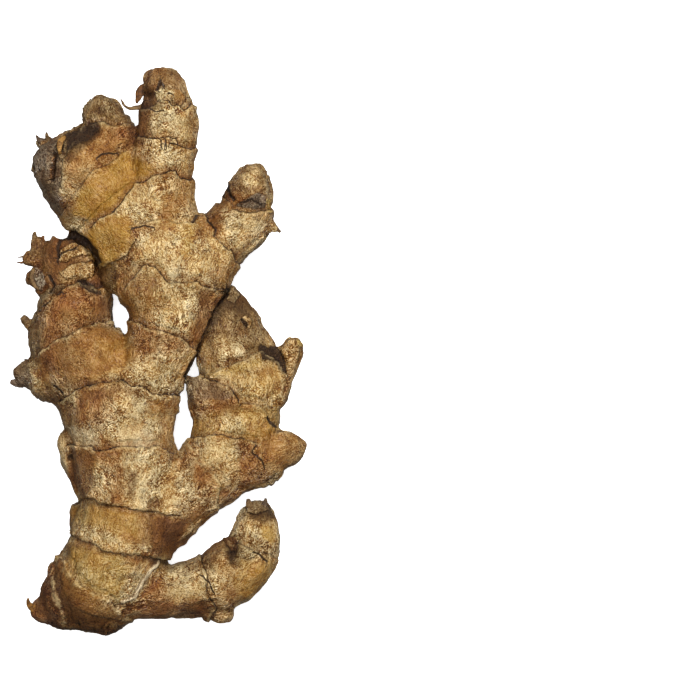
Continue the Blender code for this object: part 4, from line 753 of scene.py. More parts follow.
def body_distance(limbs, points):
    """Distance from the skin of the whole root, with the limbs rounded into each other."""
    total = np.full(len(points), 1000.0)
    for limb in limbs:
        reach = max(limb.widths.max(), limb.depths.max()) + 8.0
        low = limb.centres.min(axis=0) - reach
        high = limb.centres.max(axis=0) + reach
        near = np.all((points > low) & (points < high), axis=1)
        distance, straight, _ = limb_places(limb, points[near])
        along = np.clip(straight[:, 0] / limb.places[-1], 0.0, 1.0)
        fillet = limb.fillets[0] * (1.0 - along) + limb.fillets[1] * along
        total[near] = smooth_union(total[near], distance, fillet)
    return total


def body_slope(limbs, points):
    """The distance and the outward direction at each point, from four samples round it."""
    corners = np.array(((1, 1, 1), (1, -1, -1), (-1, 1, -1), (-1, -1, 1)), dtype=float)
    spacing = 0.04
    values = [body_distance(limbs, points + spacing * corner) for corner in corners]
    slope = sum(value[:, None] * corner for value, corner in zip(values, corners)) / (4 * spacing)
    return np.mean(values, axis=0), slope


def settle(limbs, points):
    """Move points onto the skin along its slope, and give the outward direction there."""
    for _ in range(2):
        distance, slope = body_slope(limbs, points)
        for _ in range(2):
            size = np.maximum(np.sum(slope ** 2, axis=1), 0.3)
            points = points + slope * np.clip(-distance / size, -1.0, 1.0)[:, None]
            distance = body_distance(limbs, points)
    _, slope = body_slope(limbs, points)
    return points, slope / (np.linalg.norm(slope, axis=1)[:, None] + 1e-9)


def tube(mesh, limb, sides):
    """Loft one limb as a closed tube."""
    angles = np.linspace(0.0, 2.0 * np.pi, sides, endpoint=False)
    rings = []
    for centre, width, depth, side, up in zip(
            limb.centres, limb.widths, limb.depths, limb.sides, limb.ups):
        corners = [centre + width * np.cos(a) * side + depth * np.sin(a) * up for a in angles]
        rings.append([mesh.verts.new(Vector(corner) * MM) for corner in corners])
    for lower, upper in zip(rings, rings[1:]):
        for k in range(sides):
            following = (k + 1) % sides
            mesh.faces.new((lower[k], lower[following], upper[following], upper[k]))
    mesh.faces.new(tuple(reversed(rings[0])))
    mesh.faces.new(rings[-1])


def remesh(body, voxel):
    """Give the body one even skin of small squares."""
    modifier = body.modifiers.new("Remesh", "REMESH")
    modifier.mode = "VOXEL"
    modifier.voxel_size = voxel * MM
    graph = bpy.context.evaluated_depsgraph_get()
    mesh = bpy.data.meshes.new_from_object(body.evaluated_get(graph))
    body.modifiers.clear()
    old_mesh = body.data
    body.data = mesh
    bpy.data.meshes.remove(old_mesh)


def keep_largest_shell(body):
    """Drop any scrap that the joining left inside or beside the root."""
    mesh = bmesh.new()
    mesh.from_mesh(body.data)
    left = set(mesh.verts)
    shells = []
    while left:
        shell = {left.pop()}
        edge_of_shell = list(shell)
        while edge_of_shell:
            vertex = edge_of_shell.pop()
            for edge in vertex.link_edges:
                other = edge.other_vert(vertex)
                if other in left:
                    left.remove(other)
                    shell.add(other)
                    edge_of_shell.append(other)
        shells.append(shell)
    shells.sort(key=len)
    for shell in shells[:-1]:
        bmesh.ops.delete(mesh, geom=list(shell), context="VERTS")
    mesh.to_mesh(body.data)
    mesh.free()


def vertex_array(body):
    """The body's vertices in millimetres."""
    places = np.empty(3 * len(body.data.vertices))
    body.data.vertices.foreach_get("co", places)
    return places.reshape(-1, 3) / MM


def set_vertices(body, points):
    body.data.vertices.foreach_set("co", (points * MM).ravel())
    body.data.update()


def lumps(points):
    """Uneven growth, as on the solid: broad lumps and finer dimples."""
    broad = [noise.noise(point) for point in points / LUMP_SIZE]
    fine = [noise.noise(point) for point in points / DIMPLE_SIZE + (7.0, 3.0, 5.0)]
    return LUMP_HEIGHT * np.array(broad) + DIMPLE_HEIGHT * np.array(fine)


class Noise:
    """Smooth seeded noise, about -1 to 1, one cell to a unit."""

    def __init__(self, seed):
        draw = np.random.default_rng(seed)
        self.shuffle = draw.permutation(256)
        leans = draw.normal(size=(256, 3))
        self.leans = leans / np.linalg.norm(leans, axis=1)[:, None]

    def __call__(self, points, shift=0.0):
        points = points + shift
        cells = np.floor(points).astype(int)
        inside = points - cells
        fade = inside ** 3 * (inside * (inside * 6.0 - 15.0) + 10.0)
        total = np.zeros(len(points))
        for corner in itertools.product((0, 1), repeat=3):
            keys = (cells + corner) & 255
            slot = self.shuffle[keys[:, 0]]
            slot = self.shuffle[(slot + keys[:, 1]) & 255]
            slot = self.shuffle[(slot + keys[:, 2]) & 255]
            weight = np.prod(np.where(corner, fade, 1.0 - fade), axis=1)
            total += weight * np.sum(self.leans[slot] * (inside - corner), axis=1)
        return 1.7 * total


def smooth_step(value):
    value = np.clip(value, 0.0, 1.0)
    return value * value * (3.0 - 2.0 * value)


def pairs(numbers):
    """A table's x, y, x, y and so on as points in plan."""
    return np.array(numbers, dtype=float).reshape(-1, 2)


def line_distance(points, line, side):
    """Signed plan distance from a line, positive on the side it falls to, and the distance past
    the line's ends."""
    best = np.full(len(points), 1e9)
    signed = np.zeros(len(points))
    past = np.zeros(len(points))
    for index, (start, end) in enumerate(zip(line, line[1:])):
        along = end - start
        length = np.linalg.norm(along)
        along = along / length
        offset = points - start
        raw = offset @ along
        share = np.clip(raw, 0.0, length)
        gap = offset - share[:, None] * along
        distance = np.linalg.norm(gap, axis=1)
        cross = along[0] * offset[:, 1] - along[1] * offset[:, 0]
        before = np.where(index == 0, -raw, 0.0)
        after = np.where(index == len(line) - 2, raw - length, 0.0)
        closer = distance < best
        best = np.where(closer, distance, best)
        signed = np.where(closer, side * np.sign(cross) * distance, signed)
        past = np.where(closer, np.maximum(np.maximum(before, after), 0.0), past)
    return signed, past


def outline_distance(points, outline):
    """Plan distance inside an outline, negative outside it."""
    corners = pairs(outline)
    best = np.full(len(points), 1e9)
    inside = np.zeros(len(points), dtype=bool)
    for start, end in zip(corners, np.roll(corners, -1, axis=0)):
        along = end - start
        offset = points - start
        share = np.clip(offset @ along / (along @ along), 0.0, 1.0)
        gap = offset - share[:, None] * along
        best = np.minimum(best, np.linalg.norm(gap, axis=1))
        spans = (start[1] > points[:, 1]) != (end[1] > points[:, 1])
        rise = end[1] - start[1] if end[1] != start[1] else 1e-9
        crossing = start[0] + (points[:, 1] - start[1]) * along[0] / rise
        inside ^= spans & (points[:, 0] < crossing)
    return np.where(inside, best, -best)


def ring_profile(distance, height):
    """A sheath swells towards its edge, drops at it, and leaves a groove beyond."""
    swelling = height * np.exp(-np.abs(distance) / SWELL_REACH)
    groove = -GROOVE_SHARE * height * np.exp(-np.abs(distance) / GROOVE_REACH)
    beyond = np.clip(0.5 + distance / DROP_WIDTH, 0.0, 1.0)
    return swelling * (1.0 - beyond) + groove * beyond


def seen_plan(points):
    """Each point's place in the plan, as seen from above the plan's centre."""
    spread = SEEN_FROM / (SEEN_FROM - (points[:, 2:3] - MID_HEIGHT))
    return np.array(PLAN_CENTRE) + (points[:, :2] - np.array(PLAN_CENTRE)) * spread


def underside_line(line):
    """The ring's way round below: between the same ends, bowed the other way."""
    chord = line[-1] - line[0]
    bow = UNDERSIDE_BOW * np.array((chord[1], -chord[0]))
    shares = np.linspace(0.0, 1.0, 5)
    return [line[0] + share * chord + 4.0 * share * (1.0 - share) * bow for share in shares]


class Skin:
    """The root's skin as arrays: places, shares of the limbs, how far each point is raised, and
    what the material needs to know."""

    def __init__(self, limbs, points):
        self.points = points
        self.plan = seen_plan(points)
        self.noise = Noise(RANDOM_SEED)
        count = len(points)
        self.distances = np.empty((count, len(limbs)))
        self.straights = np.empty((count, len(limbs), 3))
        heights = np.empty((count, len(limbs)))
        for index, limb in enumerate(limbs):
            distance, straight, depth = limb_places(limb, points)
            self.distances[:, index] = distance
            self.straights[:, index] = straight
            heights[:, index] = straight[:, 2] / depth
        nearness = self.distances - self.distances.min(axis=1)[:, None]
        shares = np.clip(1.0 - nearness / LIMB_BLEND, 0.0, 1.0)
        self.shares = shares / shares.sum(axis=1)[:, None]
        height = np.sum(self.shares * heights, axis=1)
        self.upper = smooth_step(0.5 + height / 0.6)
        self.relief = np.zeros(count)

    def fibres(self, length, width, seed_shift=0.0):
        """Noise drawn out along the limbs."""
        total = np.zeros(len(self.points))
        stretch = np.array((1.0 / length, 1.0 / width, 1.0 / width))
        for index in range(self.shares.shape[1]):
            near = self.shares[:, index] > 0.01
            share = self.shares[near, index]
            values = self.noise(self.straights[near, index] * stretch, 17.3 * index + seed_shift)
            total[near] += share * values
        return total / np.sqrt(np.sum(self.shares ** 2, axis=1))

    def wander(self):
        """How far a line's edge is off its plain course at each point."""
        total = FIBRE_TEAR * self.fibres(3.4, 0.9, 5.0)
        for size, length in WANDER:
            total += size * self.noise(self.points / length, 3.7 * length)
        return total

    def press_rings(self):
        """Raise the rings, and keep each point's distance from the nearest one."""
        wander = self.wander()
        count = len(self.points)
        self.ring = np.full(count, LINE_REACH)
        self.ring_near = np.zeros(count)
        self.ring_dark = np.zeros(count)
        self.ring_pale = np.zeros(count)
        for height, side, dark, pale, numbers in RINGS:
            line = pairs(numbers)
            above, past_above = line_distance(self.plan, line, side)
            below, past_below = line_distance(self.plan, underside_line(line), side)
            distance = self.upper * above + (1.0 - self.upper) * below + wander
            past = self.upper * past_above + (1.0 - self.upper) * past_below
            fade = np.clip(1.0 - past / RING_FADE, 0.0, 1.0)
            self.relief += fade * ring_profile(distance, height)
            near = fade * np.clip(1.0 - np.abs(distance) / LINE_REACH, 0.0, 1.0)
            closer = near > self.ring_near
            self.ring = np.where(closer, distance, self.ring)
            self.ring_near = np.maximum(near, self.ring_near)
            self.ring_dark = np.where(closer, dark, self.ring_dark)
            self.ring_pale = np.where(closer, pale, self.ring_pale)

    def press_tears(self):
        """Open the tears and hollows of the upper side."""
        wander = TEAR_WANDER * self.noise(self.points / TEAR_WANDER_SIZE, 9.1)
        count = len(self.points)
        self.tear = np.full(count, LINE_REACH)
        self.tear_near = np.zeros(count)
        for depth, half_width, line in TEARS:
            signed, past = line_distance(self.plan, pairs(line), 1)
            distance = signed + wander
            gap = np.hypot(distance, past)
            self.relief -= self.upper * depth * np.exp(-(gap / half_width) ** 2)
            rim = (gap - TEAR_RIM_PLACE * half_width) / half_width
            self.relief += self.upper * TEAR_RIM * depth * np.exp(-rim ** 2)
            near = self.upper * np.clip(1.0 - gap / LINE_REACH, 0.0, 1.0) * (past < 0.3)
            closer = near > self.tear_near
            self.tear = np.where(closer, distance / half_width, self.tear)
            self.tear_near = np.maximum(near, self.tear_near)
        for depth, softness, outline in HOLLOWS:
            inside = outline_distance(self.plan, outline)
            self.relief -= self.upper * depth * smooth_step(0.5 + inside / softness)

    def press_scales(self):
        """Raise the torn scales, and keep each point's distance inside the nearest one's edge."""
        edge = SCALE_WANDER * self.noise(self.points / SCALE_WANDER_SIZE, 71.0)
        edge += SCALE_FRAY * self.fibres(1.6, 0.8, 73.0)
        count = len(self.points)
        self.scale = np.full(count, -LINE_REACH)
        self.scale_tone = np.zeros((count, 3))
        for tone, height, outline in SCALES:
            inside = outline_distance(self.plan, outline) + edge
            inside = np.where(self.upper > 0.5, inside, -LINE_REACH)
            self.relief += height * smooth_step(0.5 + inside / SCALE_EDGE)
            colour, crinkle = TONES[tone]
            closer = inside > self.scale
            self.scale = np.where(closer, inside, self.scale)
            self.scale_tone = np.where(closer[:, None], np.array(colour), self.scale_tone)
            self.crinkle += smooth_step(0.5 + inside) * (crinkle - self.crinkle)

    def press_scars(self):
        """A dished disc in a low rim at each scar."""
        self.scar = np.zeros(len(self.points))
        for x, y, radius, above in SCARS:
            share = self.upper if above else 1.0 - self.upper
            reach = np.hypot(self.points[:, 0] - x, self.points[:, 1] - y) / radius
            rim = SCAR_RIM * np.exp(-((reach - 1.1) / 0.22) ** 2)
            dish = -SCAR_SINK * np.exp(-(reach / 0.75) ** 4)
            self.relief += share * (rim + dish)
            self.scar = np.maximum(self.scar, share * np.exp(-(reach / 0.8) ** 4))

    def lay_tones(self):
        """Lay the stains, with painted shadows, shades and highlights among them, over a mottled ground,
        each with an uneven edge.
        """
        mottle = self.noise(self.points / MOTTLE_SIZE, 31.0)
        blotch = self.noise(self.points / BLOTCH_SIZE, 47.0)
        count = len(self.points)
        self.tone = np.tile(TONES["tan"][0], (count, 1))
        self.crinkle = np.full(count, TONES["tan"][1])
        self.mix_tone("light", smooth_step(0.5 + 1.2 * mottle))
        self.mix_tone("rust", 0.7 * smooth_step(-1.6 * mottle - 0.1 + 0.6 * blotch))
        self.mix_tone("ochre", 0.8 * smooth_step(1.6 * blotch - 0.1))
        edge = STAIN_WANDER * self.noise(self.points / STAIN_WANDER_SIZE, 61.0)
        edge += STAIN_FRAY * self.fibres(3.0, 1.1, 67.0)
        for tone, strength, softness, outline in STAINS:
            inside = outline_distance(self.plan, outline)
            ragged = inside + edge * min(1.0, 0.4 + 0.5 * softness)
            amount = smooth_step(0.5 + ragged / (2.0 * softness))
            self.mix_tone(tone, strength * amount * self.upper)
        calm = smooth_step(0.5 + 1.3 * self.noise(self.points / CALM_SIZE, 83.0))
        self.crinkle *= CALM_SHARE + (1.15 - CALM_SHARE) * calm
        self.tone *= 1.0 - (1.0 - calm)[:, None] * (1.0 - np.array(CALM_TINT))

    def mix_tone(self, tone, amount):
        colour, crinkle = TONES[tone]
        self.tone += amount[:, None] * (np.array(colour) - self.tone)
        self.crinkle += amount * (crinkle - self.crinkle)

    def press_crinkles(self):
        """Lumps, dimples and fibrous crinkles, which also set where the material paints the crests lighter
        and the valleys darker.
        """
        self.relief += lumps(self.points)
        self.crest = np.zeros(len(self.points))
        for number, (length, width, height) in enumerate(CRINKLES):
            fold = 1.0 - 2.2 * np.abs(self.fibres(length, width, 11.0 * number))
            wave = self.fibres(length, width, 40.0 + 11.0 * number)
            layer = 0.55 * wave - 0.45 * fold
            self.relief += height * (0.25 + 0.75 * self.crinkle) * layer
            self.crest += layer * (0.6 if number else 0.4)


def store(mesh, name, values, domain="POINT"):
    """Keep values on the mesh for the material."""
    kind, slot = ("FLOAT", "value") if values.ndim == 1 else ("FLOAT_VECTOR", "vector")
    attribute = mesh.attributes.new(name, kind, domain)
    attribute.data.foreach_set(slot, values.astype(np.float32).ravel())


def store_fibre_places(mesh, skin):
    """Each face's place in its two nearest limbs as if they were straight, and how they mix."""
    corners = np.empty(len(mesh.loops), dtype=np.int64)
    mesh.loops.foreach_get("vertex_index", corners)
    sizes = np.empty(len(mesh.polygons), dtype=np.int64)
    mesh.polygons.foreach_get("loop_total", sizes)
    faces = np.repeat(np.arange(len(sizes)), sizes)
    totals = np.zeros((len(sizes), skin.distances.shape[1]))
    np.add.at(totals, faces, skin.distances[corners])
    order = np.argsort(totals / sizes[:, None], axis=1)
    first = order[faces, 0]
    second = order[faces, 1]
    gap = skin.distances[corners, second] - skin.distances[corners, first]
    store(mesh, "fibre_first", skin.straights[corners, first] + 23.0 * first[:, None], "CORNER")
    store(mesh, "fibre_second", skin.straights[corners, second] + 23.0 * second[:, None], "CORNER")
    store(mesh, "fibre_mix", np.clip(0.5 - 0.5 * gap / LIMB_BLEND, 0.0, 1.0), "CORNER")


class Tree:
    """Short calls to build a material's node tree."""

    def __init__(self, material):
        material.use_nodes = True
        self.nodes = material.node_tree.nodes
        self.links = material.node_tree.links
        self.shader = self.nodes["Principled BSDF"]

    def feed(self, node, inputs):
        """Link a node's inputs to sockets, or set them to values."""
        for name, value in inputs.items():
            if isinstance(value, bpy.types.NodeSocket):
                self.links.new(value, node.inputs[name])
            else:
                node.inputs[name].default_value = value

    def add(self, kind, inputs=None, **settings):
        node = self.nodes.new(kind)
        for name, value in settings.items():
            setattr(node, name, value)
        self.feed(node, inputs or {})
        return node

    def attribute(self, name, vector=False):
        node = self.add("ShaderNodeAttribute", attribute_name=name)
        return node.outputs["Vector" if vector else "Fac"]

    def maths(self, operation, first, second=0.0, clamp=False):
        node = self.add("ShaderNodeMath", {0: first, 1: second}, operation=operation, use_clamp=clamp)
        return node.outputs[0]

    def times(self, *values):
        """The product of two or more values."""
        product = values[0]
        for value in values[1:]:
            product = self.maths("MULTIPLY", product, value)
        return product

    def scaled(self, vector, factors):
        return self.add("ShaderNodeVectorMath", {0: vector, 1: factors}, operation="MULTIPLY").outputs[0]

    def weighted(self, *terms):
        """The sum of values by their weights."""
        total = 0.0
        for value, weight in terms:
            total = self.maths("ADD", total, self.times(value, weight))
        return total

    def step(self, value, low, high, start=0.0, end=1.0):
        """A smooth rise from start to end as the value goes from low to high."""
        inputs = {"Value": value, "From Min": low, "From Max": high, "To Min": start, "To Max": end}
        node = self.add("ShaderNodeMapRange", inputs, interpolation_type="SMOOTHSTEP", clamp=True)
        return node.outputs["Result"]

    def blend(self, factor, first, second, blend_type="MIX"):
        """Mix two colours, the second one a socket or plain red, green and blue."""
        if isinstance(second, tuple):
            second = (*second, 1.0)
        node = self.add("ShaderNodeMix", {0: factor, 6: first, 7: second}, data_type="RGBA",
                        blend_type=blend_type)
        return node.outputs[2]

    def shade(self, factor, colour, by):
        """Multiply a colour by another, as far as the factor says."""
        return self.blend(factor, colour, by, "MULTIPLY")

    def mix_number(self, factor, first, second):
        node = self.add("ShaderNodeMix", {0: factor, 2: first, 3: second}, data_type="FLOAT")
        return node.outputs[0]

    def noise(self, vector, scale, detail=2.0, roughness=0.55, distortion=0.0):
        node = self.add("ShaderNodeTexNoise", {"Vector": vector, "Scale": scale, "Detail": detail,
                                               "Roughness": roughness, "Distortion": distortion})
        return node.outputs["Fac"]

    def bump(self, height, distance):
        inputs = {"Strength": 1.0, "Distance": distance, "Height": height}
        return self.add("ShaderNodeBump", inputs).outputs["Normal"]


class SkinTree(Tree):
    """The skin's nodes: what several layers share, and a method for each layer of its colour."""

    def __init__(self, material):
        super().__init__(material)
        self.place = self.add("ShaderNodeTexCoord").outputs["Object"]
        self.crinkle = self.attribute("crinkle")
        self.scale = self.attribute("scale")
        places = self.fibre_places()
        coarse = self.fold(places, *COARSE_FOLD)
        fine = self.fold(places, *FINE_FOLD)
        self.crease = self.fold(places, *CREASE_FOLD)
        self.grain = self.noise(self.place, *GRAIN_NOISE)
        self.mottle = self.noise(self.place, *MOTTLE_NOISE)
        self.folds = self.weighted((coarse, 0.50), (fine, 0.46), (self.grain, 0.30))
        self.height = self.weighted((self.folds, 0.9), (self.attribute("crest"), 0.28),
                                    (self.mottle, 0.5), (self.grain, 0.85))
        self.pit = self.step(self.height, 0.89, 0.72)
        self.ragged = self.times(self.maths("SUBTRACT", self.grain, 0.5), 0.7)
        self.ring = self.maths("ADD", self.attribute("ring"), self.ragged)
        self.ring_near = self.step(self.attribute("ring_near"), 0.15, 0.5)

    def fibre_places(self):
        """A point's places in its two nearest limbs, swirled so that the fibres wave."""
        node = self.add("ShaderNodeTexNoise", {"Vector": self.place, "Scale": SWIRL_SCALE, "Detail": 1.0})
        swirl = self.scaled(node.outputs["Color"], (SWIRL_SIZE, SWIRL_SIZE, SWIRL_SIZE))
        places = []
        for name in ("fibre_first", "fibre_second"):
            straight = self.attribute(name, vector=True)
            places.append(self.add("ShaderNodeVectorMath", {0: straight, 1: swirl}).outputs[0])
        return places

    def fold(self, places, length, width, detail, distortion, sharpness):
        """Sharp valleys with round backs between them, drawn out along the limbs, from a fine noise
        that is mixed where two limbs meet."""
        values = []
        for place in places:
            stretched = self.scaled(place, (1.0 / length, 1.0 / width, 1.0 / width))
            values.append(self.noise(stretched, 1.0, detail, 0.6, distortion))
        value = self.mix_number(self.attribute("fibre_mix"), *values)
        off = self.maths("ABSOLUTE", self.maths("SUBTRACT", value, 0.5))
        return self.maths("MULTIPLY", off, sharpness, clamp=True)

    def crinkled(self, on_smooth, on_crinkled):
        """A number that depends on how crinkled the skin is."""
        return self.mix_number(self.crinkle, on_smooth, on_crinkled)

    def ground(self):
        """The stains, darker in sunk places, and the torn scales' own tones over them."""
        sunk = self.times(self.step(self.mottle, 0.52, 0.36), self.crinkled(0.20, 0.60))
        tone = self.shade(sunk, self.attribute("tone", vector=True), SUNK_SHADE)
        covered = self.times(self.step(self.scale, -0.08, 0.12),
                             self.step(self.mottle, 0.30, 0.52, 0.55, 0.95))
        return self.blend(covered, tone, self.attribute("scale_tone", vector=True))

    def colour_folds(self, tone, brightness):
        """Valleys, pits and creases darker, partly the skin's brown and partly painted shade; crests
        lighter, partly paler skin and partly a painted highlight; dark speckles; and a painted shadow round
        each scale.
        """
        # Painted shade in the valleys, pits and creases, partly the skin's own brown.
        valley = self.times(self.step(self.height, 1.00, 0.82), self.crinkled(0.30, 0.90))
        pit = self.times(self.pit, self.crinkled(0.25, 0.95))
        creased = self.times(self.step(self.crease, 0.22, 0.05), self.crinkled(0.25, 0.7))
        # Painted highlight on the crests, partly paler skin.
        crest = self.times(self.step(self.height, 1.00, 1.24), self.crinkled(0.15, 0.85))
        colour = self.shade(valley, tone, VALLEY_BROWN_AND_SHADE)
        colour = self.shade(pit, colour, PIT_BROWN_AND_SHADE)
        colour = self.shade(creased, colour, CREASE_BROWN_AND_SHADE)
        pale_and_highlight = self.shade(1.0, tone, CREST_PALE_AND_HIGHLIGHT)
        pale_and_highlight = self.blend(self.step(brightness, 0.05, 0.30, 0.0, 0.62), pale_and_highlight, CREST_PALE_AND_HIGHLIGHT_TONE)
        colour = self.blend(crest, colour, pale_and_highlight)
        speckle = self.step(self.noise(self.place, *SPECKLE_NOISE), 0.58, 0.66)
        colour = self.blend(self.times(speckle, self.crinkled(0.12, 0.65)), colour, SPECKLE_TONE)
        # Painted shadow just outside each raised scale's edge.
        rim = self.times(self.step(self.scale, -0.65, -0.1), self.step(self.scale, 0.1, -0.1))
        return self.shade(self.times(rim, 0.45), colour, SCALE_RIM_SHADOW)

    def colour_rings(self, colour):
        """Beyond each ring's edge, in its groove, painted shade with some brown staining; a pale lip before
        it; and a dark crack at it, partly the scar's own line and partly painted shadow in the gap.
        """
        uneven = self.step(self.noise(self.place, *UNEVEN_NOISE), 0.34, 0.54, 0.45, 1.0)
        # The crack: partly painted shadow in the gap under the sheath's edge.
        line = self.times(self.step(self.ring, -0.1, 0.08), self.step(self.ring, 0.6, 0.2))
        # Painted shade in the groove beyond the edge, partly brown staining.
        groove_shade = self.times(self.step(self.ring, -0.1, 0.2), self.step(self.ring, 2.4, 0.3))
        lip = self.times(self.step(self.ring, -1.1, -0.3), self.step(self.ring, 0.05, -0.12))
        dark = self.times(self.ring_near, self.attribute("ring_dark"), uneven)
        pale = self.times(self.ring_near, self.attribute("ring_pale"), self.step(self.mottle, 0.42, 0.60))
        colour = self.shade(self.times(groove_shade, dark, 0.75), colour, GROOVE_SHADE_AND_STAIN)
        colour = self.blend(self.times(lip, pale, 0.8), colour, LIP_TONE)
        return self.blend(self.times(line, dark, 0.95), colour, RING_CRACK_AND_SHADOW)

    def colour_tears(self, colour):
        """Dark cracks at the tears, some of them painted shadow, and brown discs at the scars."""
        tear = self.maths("ABSOLUTE", self.maths("ADD", self.attribute("tear"), self.ragged))
        crack = self.times(self.step(tear, 1.1, 0.6), self.step(self.attribute("tear_near"), 0.1, 0.4))
        colour = self.blend(self.times(crack, 0.9), colour, TEAR_CRACK_AND_SHADOW)
        return self.blend(self.times(self.attribute("scar"), 0.55), colour, SCAR_TONE)

    def roughness(self, brightness):
        """Smooth skin is duller than crinkled skin, and pits and dark places are duller still."""
        rough = self.maths("ADD", self.crinkled(0.42, 0.26), self.times(self.pit, 0.25))
        return self.maths("ADD", rough, self.step(brightness, 0.14, 0.03, 0.0, 0.3))

    def relief(self):
        """Folds, the drop at each ring, the scales' thickness and the creases."""
        amount = self.times(self.folds, self.crinkled(0.25, 1.0))
        drop = self.times(self.step(self.ring, -0.2, 0.1), self.ring_near)
        raised = self.step(self.scale, -0.2, 0.15)
        return self.weighted((amount, 1.0), (drop, -0.6), (raised, 0.5), (self.crease, 0.25))


def skin_material():
    """Crinkled, slightly glossy skin: crests lightened partly by a painted highlight, brown pits darkened
    partly by painted shade, and dark cracks along the rings, partly painted shadow.
    """
    material = bpy.data.materials.new("rhizome_skin")
    tree = SkinTree(material)
    tone = tree.ground()
    brightness = tree.add("ShaderNodeRGBToBW", {"Color": tone}).outputs["Val"]
    colour = tree.colour_tears(tree.colour_rings(tree.colour_folds(tone, brightness)))
    tree.feed(tree.shader, {
        "Base Color": colour,
        "Roughness": tree.roughness(brightness),
        "IOR": 1.45,
        "Specular IOR Level": 0.5,
        "Normal": tree.bump(tree.relief(), SKIN_BUMP),
    })
    return material


def shard_material():
    """Dried scale: streaky, dull, with brown flecks."""
    material = bpy.data.materials.new("dried_scale")
    tree = Tree(material)
    place = tree.add("ShaderNodeTexCoord").outputs["Object"]
    streaks = tree.noise(place, *STREAK_NOISE)
    fleck = tree.step(tree.noise(place, *FLECK_NOISE), 0.54, 0.66, 0.0, 0.7)
    tone = tree.attribute("tone", vector=True)
    colour = tree.blend(tree.step(streaks, 0.36, 0.64), tree.shade(1.0, tone, STREAK_SHADE), tone)
    tree.feed(tree.shader, {
        "Base Color": tree.blend(fleck, colour, FLECK_TONE),
        "Roughness": 0.65,
        "Specular IOR Level": 0.3,
        "Normal": tree.bump(streaks, SHARD_BUMP),
    })
    return material


def put(name, data):
    """A new object in the scene that holds this data."""
    body = bpy.data.objects.new(name, data)
    bpy.context.scene.collection.objects.link(body)
    return body


def lofted(name, limbs, sides):
    """An object that holds each limb as a closed tube."""
    mesh = bmesh.new()
    for limb in limbs:
        tube(mesh, limb, sides)
    data = bpy.data.meshes.new(name)
    mesh.to_mesh(data)
    mesh.free()
    return put(name, data)


def build_skin():
    """The whole root's skin, fine enough for its cracks and crinkles."""
    limbs = [Limb(*row) for _, *row in LIMBS]
    body = lofted("rhizome_skin", limbs, SIDES)
    remesh(body, VOXEL)
    keep_largest_shell(body)
    points, outward = settle(limbs, vertex_array(body))
    skin = Skin(limbs, points)
    skin.press_rings()
    skin.press_scars()
    skin.lay_tones()
    skin.press_crinkles()
    skin.press_tears()
    skin.press_scales()
    points = points + skin.relief[:, None] * outward
    points[:, 2] = np.maximum(points[:, 2], 0.0)
    low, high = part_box("rhizome")
    middle = (points[:, :2].min(axis=0) + points[:, :2].max(axis=0)) / 2.0
    shift = np.array(((low + high) / 2.0)[:2]) / MM - middle
    points[:, :2] += shift
    set_vertices(body, points)
    for name in ("ring", "ring_near", "ring_dark", "ring_pale", "tear", "tear_near", "scar",
                 "scale", "scale_tone", "tone", "crinkle", "crest"):
        store(body.data, name, getattr(skin, name))
    store_fibre_places(body.data, skin)
    body.data.materials.append(skin_material())
    body.data.shade_smooth()
    return body, points, shift


def build_shard(row, skin_points, shift, material):
    """One dried shard: a flattened tube that tapers and curls along its stations."""
    name, tone, half_thickness, on_skin, stations = row
    stations = np.array(stations, dtype=float)
    stations[:, :2] += shift
    if on_skin:
        for station in stations:
            near = np.hypot(*(skin_points[:, :2] - station[:2]).T) < SAMPLE_STEP
            station[2] += skin_points[near, 2].max()
    depths = np.full((len(stations), 1), half_thickness)
    shard = lofted(name, [Limb(0.0, 0.0, np.hstack((stations, depths)))], SHARD_SIDES)
    points = vertex_array(shard)
    wobble = Noise(RANDOM_SEED)
    points[:, 2] += 0.25 * wobble(points / 1.3)
    points[:, :2] += 0.2 * np.stack((wobble(points / 1.1, 5.0), wobble(points / 1.1, 9.0)), axis=1)
    set_vertices(shard, points)
    store(shard.data, "tone", np.tile(TONES[tone][0], (len(points), 1)))
    shard.data.materials.append(material)
    shard.data.shade_smooth()
    return shard


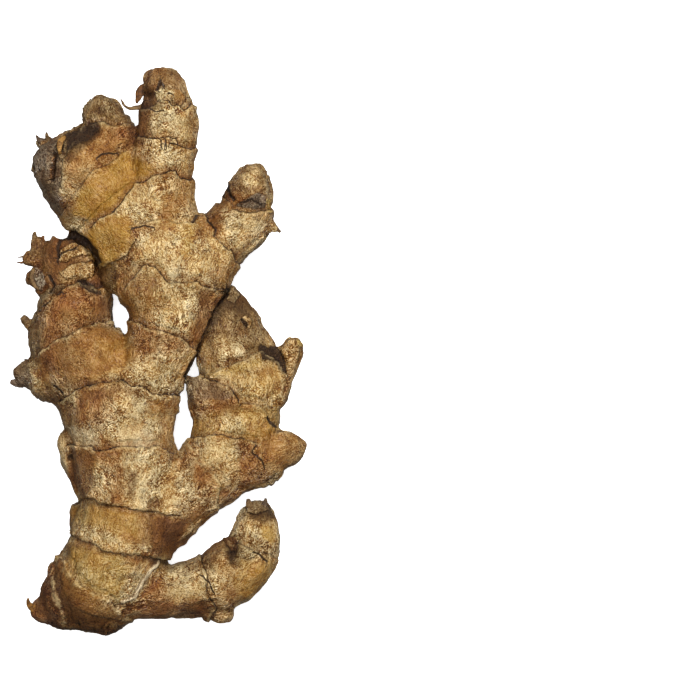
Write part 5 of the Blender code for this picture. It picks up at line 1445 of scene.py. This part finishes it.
def add_shards(skin_points, shift):
    material = shard_material()
    for row in SHARDS:
        shard = build_shard(row, skin_points, shift, material)
        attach(shard, "root")


def floor_material():
    """Matt white that glows, so that the shadows on it stay faint."""
    material = bpy.data.materials.new("floor_white")
    tree = Tree(material)
    white = (*FLOOR_TONE, 1.0)
    tree.feed(tree.shader, {"Base Color": white, "Roughness": 0.9, "Emission Color": white,
                            "Emission Strength": FLOOR_GLOW})
    return material


def add_floor():
    """A wide pale floor like a light table, which lights nothing and isn't mirrored."""
    mesh = bpy.data.meshes.new("floor")
    corners = [(x * FLOOR_HALF, y * FLOOR_HALF, 0.0) for x, y in ((-1, -1), (1, -1), (1, 1), (-1, 1))]
    mesh.from_pydata(corners, [], [(0, 1, 2, 3)])
    mesh.materials.append(floor_material())
    floor = put("floor", mesh)
    floor.visible_diffuse = False
    floor.visible_glossy = False


def add_lights():
    """An even white world, and square soft boxes that face the origin, unseen by the camera."""
    world = bpy.data.worlds.new("studio")
    world.use_nodes = True
    background = world.node_tree.nodes["Background"]
    background.inputs["Color"].default_value = (1.0, 1.0, 1.0, 1.0)
    background.inputs["Strength"].default_value = WORLD_STRENGTH
    bpy.context.scene.world = world
    for name, place, size, power in LIGHTS:
        lamp = bpy.data.lights.new(name, "AREA")
        lamp.size = size
        lamp.energy = power
        light = put(name, lamp)
        light.location = place
        light.rotation_euler = (-Vector(place)).to_track_quat("-Z", "Y").to_euler()
        light.visible_camera = False


def add_camera():
    """Straight above, with the root left of the middle."""
    data = bpy.data.cameras.new("camera")
    data.lens = LENS
    data.sensor_width = SENSOR
    data.clip_start = 0.01
    data.clip_end = 20.0
    camera = put("camera", data)
    low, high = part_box("rhizome")
    camera.location = (*FRAME_CENTRE, (low.z + high.z) / 2.0 + CAMERA_HEIGHT)
    bpy.context.scene.camera = camera


skin, skin_points, plan_shift = build_skin()
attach(skin, "root")
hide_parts("rhizome")
add_shards(skin_points, plan_shift)
add_floor()
add_lights()
add_camera()
bpy.context.scene.view_settings.view_transform = "Standard"
bpy.context.scene.view_settings.look = "Medium High Contrast"
